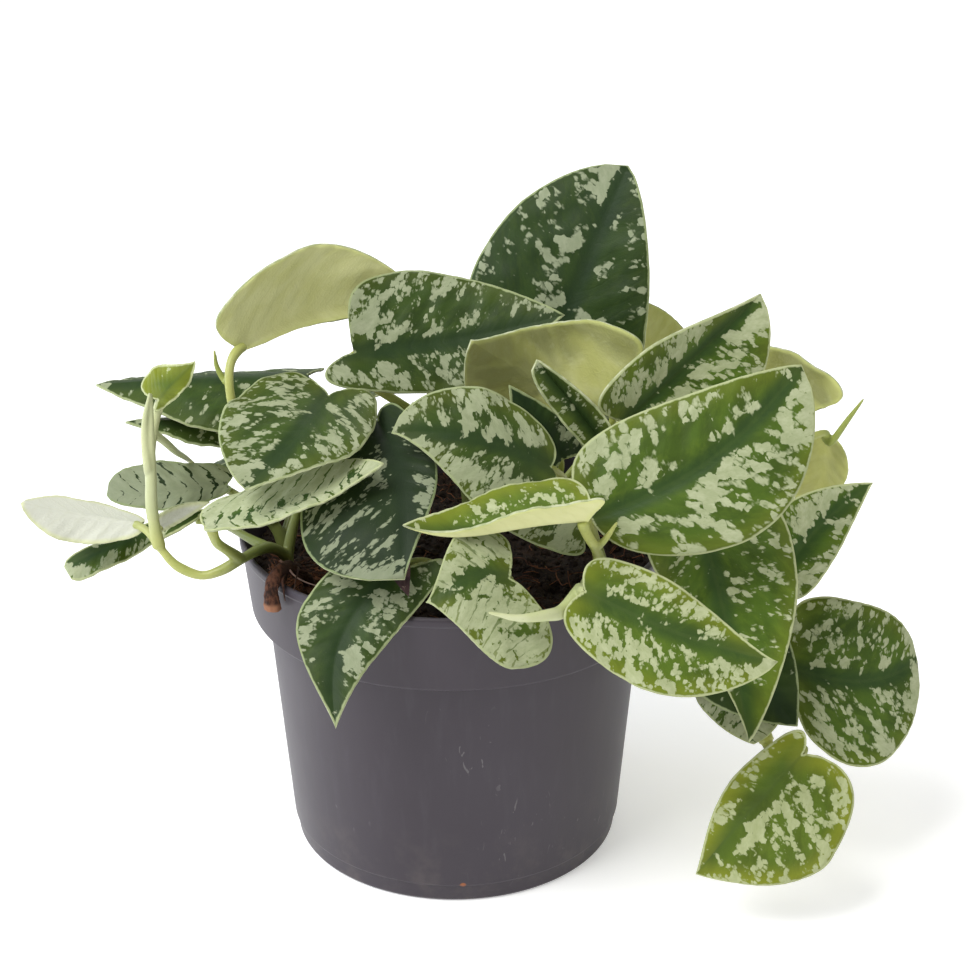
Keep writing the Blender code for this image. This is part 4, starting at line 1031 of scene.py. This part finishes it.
def splash_group():
    """Silver splashes and veins. A slow noise says what is silver. It is read partly once for each small cell
    and partly at the point itself, so that the splashes have the lumpy, frayed edges of the real leaf. Streak
    draws them out along the side veins, and little of them lies at the midrib, the base and the margin."""
    group = bpy.data.node_groups.new("silver_splashes", "ShaderNodeTree")
    for title in ("Place", "Edge", "Along", "Streak", "Amount", "Size"):
        kind = "NodeSocketVector" if title == "Place" else "NodeSocketFloat"
        group.interface.new_socket(title, in_out="INPUT", socket_type=kind)
    for title in ("Splash", "Vein", "Rib"):
        group.interface.new_socket(title, in_out="OUTPUT", socket_type="NodeSocketFloat")
    place, edge, along, streak, amount, size = group.nodes.new("NodeGroupInput").outputs[:6]

    def calc(operation, a, b=0.0, c=0.0, clamp=False):
        return maths(group, operation, a, b, c, clamp)

    def vector_of(x, y, z):
        return node(group, "ShaderNodeCombineXYZ", x, y, z).outputs[0]

    def slant(y):
        """How far a side vein has run forward where it is y from the midrib."""
        y = calc("ABSOLUTE", y)
        return times(group, y, calc("MULTIPLY_ADD", y, VEIN_BEND, VEIN_SLOPE))

    vein_at, across_at, seed_at = parts_of(group, place)
    draw = calc("POWER", streak, 0.5)
    wide, long = calc("DIVIDE", size, draw), times(group, size, draw)
    upright = calc("SUBTRACT", 2.0, streak, clamp=True)
    lean = times(group, upright, slant(across_at))
    leaned = calc("ADD", vein_at, lean)
    flat = vector_of(calc("DIVIDE", leaned, wide), calc("DIVIDE", across_at, long), seed_at)

    def cells(width, spread, detail, corner, smooth):
        """A noise that is read once for each cell and falls by corner where the cell ends. Smooth is how much
        of it is read at the point itself instead, which joins the cells and frays their edges."""
        shift = vector_maths(group, "SUBTRACT", noise_of(group, flat, 0.8 / width, 4.0, 0.65, colour=True),
                             (0.5, 0.5, 0.5))
        shift = vector_maths(group, "SCALE", shift, CELL_SHAKE * width)
        grid = vector_maths(group, "ADD", flat, shift)
        cell = node(group, "ShaderNodeTexVoronoi", Scale=1.0 / width, Randomness=0.9, Vector=grid).outputs
        x, y, z = parts_of(group, cell["Position"])
        lean = times(group, upright, slant(times(group, y, long)))
        spot = vector_of(calc("SUBTRACT", x, calc("DIVIDE", lean, wide)), y, z)
        value = noise_of(group, vector_maths(group, "DIVIDE", spot, spread), 1.0, detail, 0.45)
        here = noise_of(group, vector_maths(group, "DIVIDE", flat, spread), 1.0, 3.5, 0.62)
        value = calc("ADD", times(group, value, 1 - smooth), times(group, here, smooth))
        return calc("SUBTRACT", value, ramp(group, cell["Distance"], 0.15, 0.80, 0.0, corner))

    level = ramp(group, amount, 0.0, 1.0, LEVEL_BARE, LEVEL_SILVER, "LINEAR")
    from_rib = calc("ABSOLUTE", across_at)
    ahead = calc("ADD", vein_at, slant(across_at))
    from_base = calc("SQRT", calc("ADD", times(group, ahead, ahead), times(group, across_at, across_at)))
    patchy = ramp(group, noise_of(group, place, 0.15, 2.0), 0.40, 0.60, 0.45, 1.15)
    bare = calc("MAXIMUM", times(group, ramp(group, from_rib, 0.8, 4.0, 0.18, 0.0), patchy),
                ramp(group, from_base, 3.0, 8.0, 0.18, 0.0))
    bare = times(group, bare, ramp(group, amount, 0.5, 0.75, 1.0, 0.35))
    bare = calc("ADD", bare, ramp(group, edge, 0.3, 1.6, 0.05, 0.0))
    bare = calc("SUBTRACT", bare, ramp(group, along, 0.84, 0.98, 0.0, 0.14))
    large = calc("SUBTRACT", cells(SPLASH_CELL, SPLASH_SPREAD, 1.5, 0.045, 0.5), bare)
    splash = ramp(group, calc("SUBTRACT", large, level), -0.026, 0.016)
    speck_level = calc("MULTIPLY_ADD", level, 0.45, 0.420)
    small = cells(SPECK_CELL, SPECK_SPREAD, 0.0, 0.06, 0.4)
    small = calc("SUBTRACT", small, times(group, bare, 0.9))
    speck = ramp(group, calc("SUBTRACT", small, speck_level), -0.030, 0.016)
    marks = calc("MAXIMUM", splash, speck)
    # Dark green side veins that cut the silver where it is nearly solid. They bend, thicken and break off.
    drift = noise_of(group, place, 0.16, 2.0, 0.5)
    line_at = calc("ADD", vein_at, times(group, calc("SUBTRACT", drift, 0.5), VEIN_WANDER))
    phase = calc("FRACT", calc("DIVIDE", line_at, VEIN_SPACING))
    from_vein = calc("ABSOLUTE", calc("SUBTRACT", phase, 0.5))
    thick = calc("ADD", times(group, noise_of(group, place, 0.30, 1.0), 0.40),
                 times(group, noise_of(group, place, 1.3, 2.0), 0.22))
    vein = ramp(group, calc("SUBTRACT", from_vein, calc("SUBTRACT", thick, 0.275)), -0.02, 0.02, 1.0, 0.0)
    cutting = times(group, vein, ramp(group, amount, 0.5, 0.7, 0.0, 1.0))
    marks = times(group, marks, calc("SUBTRACT", 1.0, cutting))
    groove = ramp(group, from_vein, 0.02, 0.22, 1.0, 0.0)
    rib = ramp(group, from_rib, 0.20, 0.80, 1.0, 0.0)
    node(group, "NodeGroupOutput", Splash=marks, Vein=groove, Rib=rib)
    return group


SPLASHES = splash_group()


def leaf_marks(tree):
    """What is at each point of a blade: its place on the leaf, its distance from the margin, how yellow and
    how dark the leaf is, that darkness partly its own green and partly painted shade, and the shares of silver,
    of side vein and of midrib."""
    place, edge, look = (node(tree, "ShaderNodeAttribute", attribute_name=title).outputs
                         for title in ("on_leaf", "at_edge", "leaf_look"))
    apart, along, streak = parts_of(tree, edge["Vector"])[:3]
    amount, size, yellow = node(tree, "ShaderNodeSeparateColor", look["Color"]).outputs[:3]
    marks = node(tree, "ShaderNodeGroup", place["Vector"], apart, along, streak, amount, size,
                 node_tree=SPLASHES)
    return place["Vector"], apart, yellow, look["Alpha"], marks.outputs[:3]


def satin_upper():
    """The upper side: green, bluish and dark along the midrib and yellower at the margin, with silver."""
    made, tree = new_finish("satin_leaf_upper", 0.5, 0.12)
    place, edge, yellow, dark, (splash, vein, rib) = leaf_marks(tree)
    broad = noise_of(tree, place, 0.11, 3.0, 0.55)
    patch = noise_of(tree, place, 0.35, 3.0, 0.6)
    fleck = noise_of(tree, place, 1.3, 3.0, 0.65)
    from_rib = maths(tree, "ABSOLUTE", parts_of(tree, place)[1])
    yellowed = maths(tree, "MULTIPLY", yellow, ramp(tree, edge, 7.0, 0.5, 0.25, 1.0), clamp=True)
    band = times(tree, ramp(tree, from_rib, 4.5, 1.0), ramp(tree, yellow, 0.4, 0.8, 0.65, 0.25))
    # The dark share darkens the green, the silver and the margin: partly the leaf's own darker green, partly
    # painted shade.
    green = layered(tree, DEEP_GREEN, (ramp(tree, broad, 0.35, 0.65), LEAF_GREEN),
                    (ramp(tree, patch, 0.45, 0.70, 0.0, 0.5), FRESH_GREEN), (yellowed, YELLOW_GREEN),
                    (band, MIDRIB_GREEN), (times(tree, dark, 0.90), SHADED_GREEN),
                    (times(tree, rib, ramp(tree, dark, 0.0, 0.5, 0.25, 0.0)), MIDRIB_LINE))
    silver = layered(tree, SILVER, (ramp(tree, patch, 0.3, 0.7), SILVER_PALE),
                     (ramp(tree, fleck, 0.42, 0.70, 0.0, 0.30), SILVER_FLECK),
                     (times(tree, yellow, 0.45), SILVER_YELLOW), (times(tree, dark, 0.75), SILVER_SHADED))
    ragged = maths(tree, "MULTIPLY_ADD", maths(tree, "SUBTRACT", patch, 0.5), 0.9, edge)
    colour = layered(tree, green, (times(tree, splash, 0.94), silver),
                     (ramp(tree, ragged, 0.75, 0.30), layered(tree, RIM_PALE, (dark, RIM_SHADED))))
    grain = node(tree, "ShaderNodeTexVoronoi", Scale=3.0, Vector=place).outputs["Distance"]
    height = maths(tree, "SUBTRACT", times(tree, grain, -0.25), times(tree, vein, 0.20))
    return coated(made, colour, height, 0.35, 0.3, ramp(tree, splash, 0.0, 1.0, 0.46, 0.58, "LINEAR"))


def dull_underside():
    """The underside: pale yellow-green and dull, with raised veins and a faint net between them, and soft
    patches of painted shade. It is cream on young leaves and nearly white on the two newest ones."""
    made, tree = new_finish("leaf_underside", 0.62, 0.15)
    place, edge, yellow, dark, (splash, vein, _) = leaf_marks(tree)
    broad = noise_of(tree, place, 0.12, 3.0, 0.55)
    # Painted shade: soft dark patches, deeper on darker leaves, where the underside lies in shadow.
    shade = times(tree, dark, ramp(tree, noise_of(tree, place, 0.06), 0.35, 0.65, 0.45, 1.40))
    colour = layered(tree, UNDER, (ramp(tree, broad, 0.35, 0.65), UNDER_PALE),
                     (ramp(tree, yellow, 0.45, 0.70), UNDER_CREAM),
                     (ramp(tree, yellow, 0.85, 1.0), UNDER_NEWEST),
                     (maths(tree, "MINIMUM", shade, DARKEST_SHADE), UNDER_SHADED),
                     (times(tree, splash, 0.08), UNDER_SPLASH), (times(tree, vein, 0.05), UNDER_VEIN),
                     (ramp(tree, edge, 1.6, 0.3, 0.0, 0.45), UNDER_EDGE))
    net = node(tree, "ShaderNodeTexVoronoi", feature="DISTANCE_TO_EDGE", Scale=0.9, Vector=place)
    net = ramp(tree, net.outputs["Distance"], 0.0, 0.2, 0.4, 0.0)
    return coated(made, colour, maths(tree, "MULTIPLY_ADD", vein, 0.3, net), 0.3, 0.3)


def dry_scrap():
    """A leaf scrap that has dried to purplish brown paper."""
    made, tree = new_finish("dry_leaf", 0.8, 0.2)
    where = object_place(tree)
    blotch = noise_of(tree, where, 260.0, 4.0, 0.6)
    colour = layered(tree, DRY_BROWN, (ramp(tree, blotch, 0.35, 0.65), DRY_PURPLE),
                     (ramp(tree, noise_of(tree, where, 900.0), 0.60, 0.72), DRY_FIBRE))
    return coated(made, colour, blotch, 0.6, 0.6)


margin_finish = two_tone("silver_margin", 0.5, 0.35, 420.0, MARGIN, MARGIN_PALE)
fresh_finishes = (satin_upper(), dull_underside(), margin_finish)
dry_finish = dry_scrap()
for leaf_name in LEAVES:
    paints = (dry_finish,) * 3 if leaf_name == "leaf_scrap_dry" else fresh_finishes
    finish_piece(make_blade(leaf_name, paints), leaf_name)


# The stems: each cutting is a smooth green vine that roots in the soil, with petioles that rise from its
# nodes, wrap it at the foot and thicken just under the blade. Some end in a pointed sheath or a new leaf.
# A petiole gives the blade it carries, the point of the path that it leaves from, its radius and the way it
# sets off. A shoot starts part of the way along a petiole and runs through its own points.
STEMS = {
    "vine_left": dict(
        radius=1.7, thin=1.2,
        path=[(-46, -14, 80), (-46, -14, 90), (-50.5, -21, 97), (-57, -30, 97.6), (-62, -31.5, 95.2),
              (-67.5, -32, 94), (-74, -31, 96.5), (-78.5, -29, 101)],
        petioles=[("leaf_left_front", 3, 1.5, (-0.4, -0.3, 0.6)), ("leaf_left_heart", 1, 1.4, (0.1, 0.3, 1)),
                  ("leaf_far_left_low", 2, 1.3, (-0.7, 0.3, 0.2)),
                  ("leaf_far_left_rolled", 7, 1.2, (-0.3, 0.3, 0.3)),
                  ("leaf_left_pale", 7, 1.1, (0, 1, 0.3)), ("leaf_left_new", 7, 1.5, (-0.2, 0, 1))],
        shoots=[("leaf_left_new", 0.4, 1.3, [(-80.6, -25.6, 122), (-81.2, -24.2, 129), (-81, -22.8, 135.5),
                                             (-79.6, -20.8, 142)])]),
    "vine_back_left": dict(
        radius=1.8,
        path=[(-48, -5, 80), (-48, -5, 90), (-50.5, -4.5, 96.5), (-55.5, -3.5, 100.5)],
        petioles=[("leaf_left_silver", 3, 1.3, (-0.4, 0.8, -0.1)), ("leaf_left_under", 2, 1.2, (0, 0.6, 1)),
                  ("leaf_left_long", 1, 1.3, (0.2, 0.7, 1)), ("leaf_left_high", 2, 1.4, (-0.2, -0.3, 1))],
        shoots=[("leaf_left_high", 0.75, 1.2, [(-62, 0, 137), (-64.5, 1, 141), (-65, 1, 146)])]),
    "vine_back": dict(
        radius=2.0,
        path=[(4, 16, 80), (4, 16, 92), (2, 18, 106)],
        petioles=[("leaf_back_heart", 2, 1.5, (-0.4, -0.1, 1)), ("leaf_top", 1, 1.6, (0.6, 0.2, 1)),
                  ("leaf_rear_top", 2, 1.3, (-0.1, 0.6, 0.6))]),
    "vine_middle": dict(
        radius=1.8,
        path=[(-14, -8, 80), (-14, -8, 92), (-15, -10, 102)],
        petioles=[("leaf_centre_hanging", 2, 1.3, (-0.1, 0.2, 1))]),
    "vine_centre": dict(
        radius=2.0,
        path=[(24, 2, 80), (24, 2, 92), (28, -3, 102)],
        petioles=[("leaf_centre", 1, 1.4, (0.3, -0.6, 1)), ("leaf_centre_under", 2, 1.3, (0.3, 1, 1)),
                  ("leaf_centre_folded", 2, 1.1, (0.4, -0.3, 1)),
                  ("leaf_centre_shaded", 2, 1, (0, -0.4, 1))]),
    "vine_front": dict(
        radius=2.4,
        path=[(38, -33, 80), (38, -33, 91), (39.5, -41, 98), (38.5, -47, 104)],
        petioles=[("leaf_front_folded", 3, 1.5, (-0.1, -0.4, 1)), ("leaf_right_large", 2, 1.5, (0.2, 0.4, 1))],
        shoots=[("leaf_front_folded", 0.35, 1, [(39.5, -54.5, 115.5), (42, -57, 121)])]),
    "vine_right": dict(
        radius=2.1,
        path=[(46, 4, 80), (46, 4, 91), (55.5, -4, 99.5), (67, -12, 97), (76, -12, 88), (80, -12, 74),
              (82, -12, 60), (84, -16, 47), (88, -24, 38)],
        petioles=[("leaf_right_high", 1, 1.4, (0.1, -0.1, 1)), ("leaf_right_under", 2, 1.3, (0.6, 0.3, 1)),
                  ("leaf_right_hanging", 2, 1.4, (0.1, -0.6, 0.6)),
                  ("leaf_right_small", 3, 1.2, (0.6, 0.4, 0.8)),
                  ("leaf_right_side", 4, 1.2, (0.4, 0.3, -0.3)), ("leaf_right_round", 6, 1.4, (0.3, 0.4, 0.2)),
                  ("leaf_right_inner", 4, 1.2, (-0.2, -0.1, -0.6)),
                  ("leaf_right_shaded", 4, 1.1, (-0.4, 0.3, -0.8)),
                  ("leaf_right_lowest", 8, 1.4, (0.1, -0.3, -0.2))],
        shoots=[("leaf_right_small", 0.97, 1.1, [(105.5, 7.4, 116), (110, 7.6, 123), (114, 8, 129)])]),
    "vine_front_left": dict(
        radius=1.9,
        path=[(-2, -36, 80), (-2, -36, 92), (-2, -42, 100)],
        petioles=[("leaf_front_left", 2, 1.3, (-0.3, -0.45, 0.8)),
                  ("leaf_front_centre", 1, 1.3, (0.6, -0.5, 0.7)),
                  ("leaf_scrap_dry", 2, 0.7, (-0.5, -0.1, 0.8))]),
    "vine_front_right": dict(
        radius=1.9,
        path=[(34.5, -40, 80), (34.5, -40, 92), (35.5, -46.5, 98.8)],
        petioles=[("leaf_front_right", 2, 1.5, (-0.2, -0.8, 0.1))],
        shoots=[("leaf_front_right", 0.4, 2, [(28.6, -61, 98.2), (24.2, -67.8, 100.3), (17, -73, 102.2),
                                              (9.5, -75, 104.8)])]),
    "vine_rear": dict(
        radius=2.0,
        path=[(6, 36, 80), (6, 36, 92), (4, 46, 99), (2, 57, 100), (0, 66, 92), (0, 70, 84)],
        petioles=[("leaf_rear_centre", 2, 1.4, (0, 0.3, 1)), ("leaf_rear_right", 1, 1.4, (0.6, 0.2, 0.8)),
                  ("leaf_rear_hanging", 4, 1.3, (0.6, 0.1, 0)),
                  ("leaf_rear_hanging_left", 5, 1.2, (-0.8, 0, 0.1))]),
    "vine_rear_left": dict(
        radius=1.9,
        path=[(-30, 30, 80), (-30, 30, 92), (-36, 34, 99)],
        petioles=[("leaf_rear_left", 1, 1.4, (0, 0.4, 1)), ("leaf_rear_side_left", 2, 1.3, (-0.7, 0, 0.4))]),
    "vine_rear_right": dict(
        radius=1.9,
        path=[(42, 26, 80), (42, 26, 92), (48, 31, 99)],
        petioles=[("leaf_rear_side_right", 2, 1.3, (0.6, 0.3, 0.4)),
                  ("leaf_back_small", 2, 1.3, (0.3, 0.3, 0.8))]),
}
# Two shoots that only the dressed stem has: they widen the rolled sheath of the new leaf, and run behind the
# silver leaf at the left.
SHEATH_FOLDS = {"vine_left": [
    ("leaf_left_new", 0.15, 1.7, [(-80.2, -26.8, 113), (-80, -25, 121), (-79.9, -23.4, 129),
                                  (-79.6, -21.6, 136), (-79.2, -20.2, 141.5)]),
    ("leaf_left_new", 0.68, 1.15, [(-77.9, -12, 124.3), (-76.9, -1, 116.9), (-75.5, 9, 110.5),
                                   (-73.6, 14, 105.6), (-71.7, 17, 100.5)])]}
PETIOLE_POINTS = 24
SHOOT_TIP = 0.35
STEM_SIDES = 14
WELD = 0.36
SHADE_REACH = (76.0, 60.0)
SHADE_HEIGHTS = (118.0, 96.0)
NEWEST_REACH = (-72.0, -76.0)
NEWEST_HEIGHTS = (99.0, 116.0)
STEM_GREEN = (0.270, 0.315, 0.066)
STEM_YELLOW = (0.390, 0.410, 0.120)
# The foot colour serves the stems' darker streaks and also the painted shade over the pot.
STEM_STREAK_AND_SHADE = (0.065, 0.090, 0.022)
NEW_LEAF = (0.520, 0.560, 0.280)
NEW_LEAF_PALE = (0.640, 0.660, 0.420)
NEW_LEAF_STREAK_AND_SHADE = (0.350, 0.420, 0.140)
NEW_GROWTH = (0.600, 0.630, 0.410)


def petiole_line(start, rise, name, radius):
    """A petiole's centre line: it sets off along rise and ends at the base of its blade, from below."""
    leaf = {**BLADE, **LEAVES[name]}
    base, ahead, _, face, _ = blade_axes(leaf)
    arrive = unit(leaf["meet"] * ahead + (1 - leaf["meet"]) * face)
    drop = 0.3 + radius * math.sqrt(1 - float(arrive @ face) ** 2)
    end = base + ahead * 1.5 - face * drop
    start = np.array(start, float)
    span = np.linalg.norm(end - start)
    early, late = start + unit(rise) * span * 0.4, end - arrive * span * 0.33
    line = []
    for k in range(PETIOLE_POINTS + 1):
        t = k / PETIOLE_POINTS
        s = 1 - t
        line.append(s ** 3 * start + 3 * s * s * t * early + 3 * s * t * t * late + t ** 3 * end)
    return line


def petiole_radii(radius):
    """Wide and wrapped at the foot, slim in the middle and a little swollen under the blade."""
    t = np.linspace(0, 1, PETIOLE_POINTS + 1)
    return radius * (0.90 + 0.32 * np.exp(-(t / 0.16) ** 2) + 0.14 * np.exp(-((t - 0.93) / 0.06) ** 2))


def waxy_green(name, low, high, foot):
    """Smooth green skin, yellower by patches, with darker streaks, darkened over the pot by painted shade, and
    nearly white on the newest growth.
    """
    made, tree = new_finish(name, 0.42, 0.4)

    def between(value, start, end):
        return ramp(tree, value, start * MM, end * MM)

    where = object_place(tree)
    x, y, z = parts_of(tree, where)
    streak = noise_of(tree, where, 900.0, 3.0, 0.6)
    from_axis = maths(tree, "SQRT", maths(tree, "ADD", times(tree, x, x), times(tree, y, y)))
    # Painted shade: stems close over the pot and low down, near the soil, are darkened towards the foot colour.
    shaded = times(tree, between(from_axis, *SHADE_REACH), between(z, *SHADE_HEIGHTS))
    newest = times(tree, between(x, *NEWEST_REACH), between(z, *NEWEST_HEIGHTS))
    colour = layered(tree, low, (ramp(tree, noise_of(tree, where, 70.0), 0.35, 0.65), high),
                     (ramp(tree, streak, 0.55, 0.75, 0.0, 0.25), foot), (times(tree, shaded, 0.75), foot),
                     (times(tree, newest, 0.62), NEW_GROWTH))
    return coated(made, colour, streak, 0.15, 0.2)


stem_finish = waxy_green("stem_skin", STEM_GREEN, STEM_YELLOW, STEM_STREAK_AND_SHADE)
new_leaf_finish = waxy_green("new_leaf_skin", NEW_LEAF, NEW_LEAF_PALE, NEW_LEAF_STREAK_AND_SHADE)
for name, stem in STEMS.items():
    line = smooth_line(stem["path"], 2.0, straight_start=True)
    vine = np.linspace(stem["radius"], stem.get("thin", stem["radius"]), len(line))
    vine = vine * (1 + 0.08 * np.cos(np.arange(len(line)) * 0.9))
    wires, lines = [(line, vine)], {}
    for leaf_name, at, radius, rise in stem["petioles"]:
        lines[leaf_name] = petiole_line(stem["path"][at], rise, leaf_name, radius)
        wires.append((lines[leaf_name], petiole_radii(radius)))
    for leaf_name, share, radius, points in stem.get("shoots", []) + SHEATH_FOLDS.get(name, []):
        start = lines[leaf_name][round(share * PETIOLE_POINTS)]
        line = smooth_line([start] + points, 1.5)
        wires.append((line, radius - (radius - SHOOT_TIP) * np.linspace(0, 1, len(line)) ** 2))
    skin = new_leaf_finish if name == "vine_front_right" else stem_finish
    piece = swept(name + "_stem", wires, skin, STEM_SIDES, 0.8)
    weld = piece.modifiers.new("weld", "REMESH")
    weld.mode = "VOXEL"
    weld.voxel_size = WELD * MM
    weld.use_smooth_shade = True
    soften = piece.modifiers.new("soften", "SMOOTH")
    soften.factor = 0.5
    soften.iterations = 2
    settled(piece)
    piece.data.materials.clear()
    piece.data.materials.append(skin)
    piece.data.shade_smooth()
    finish_piece(piece, name)


bpy.context.view_layer.update()
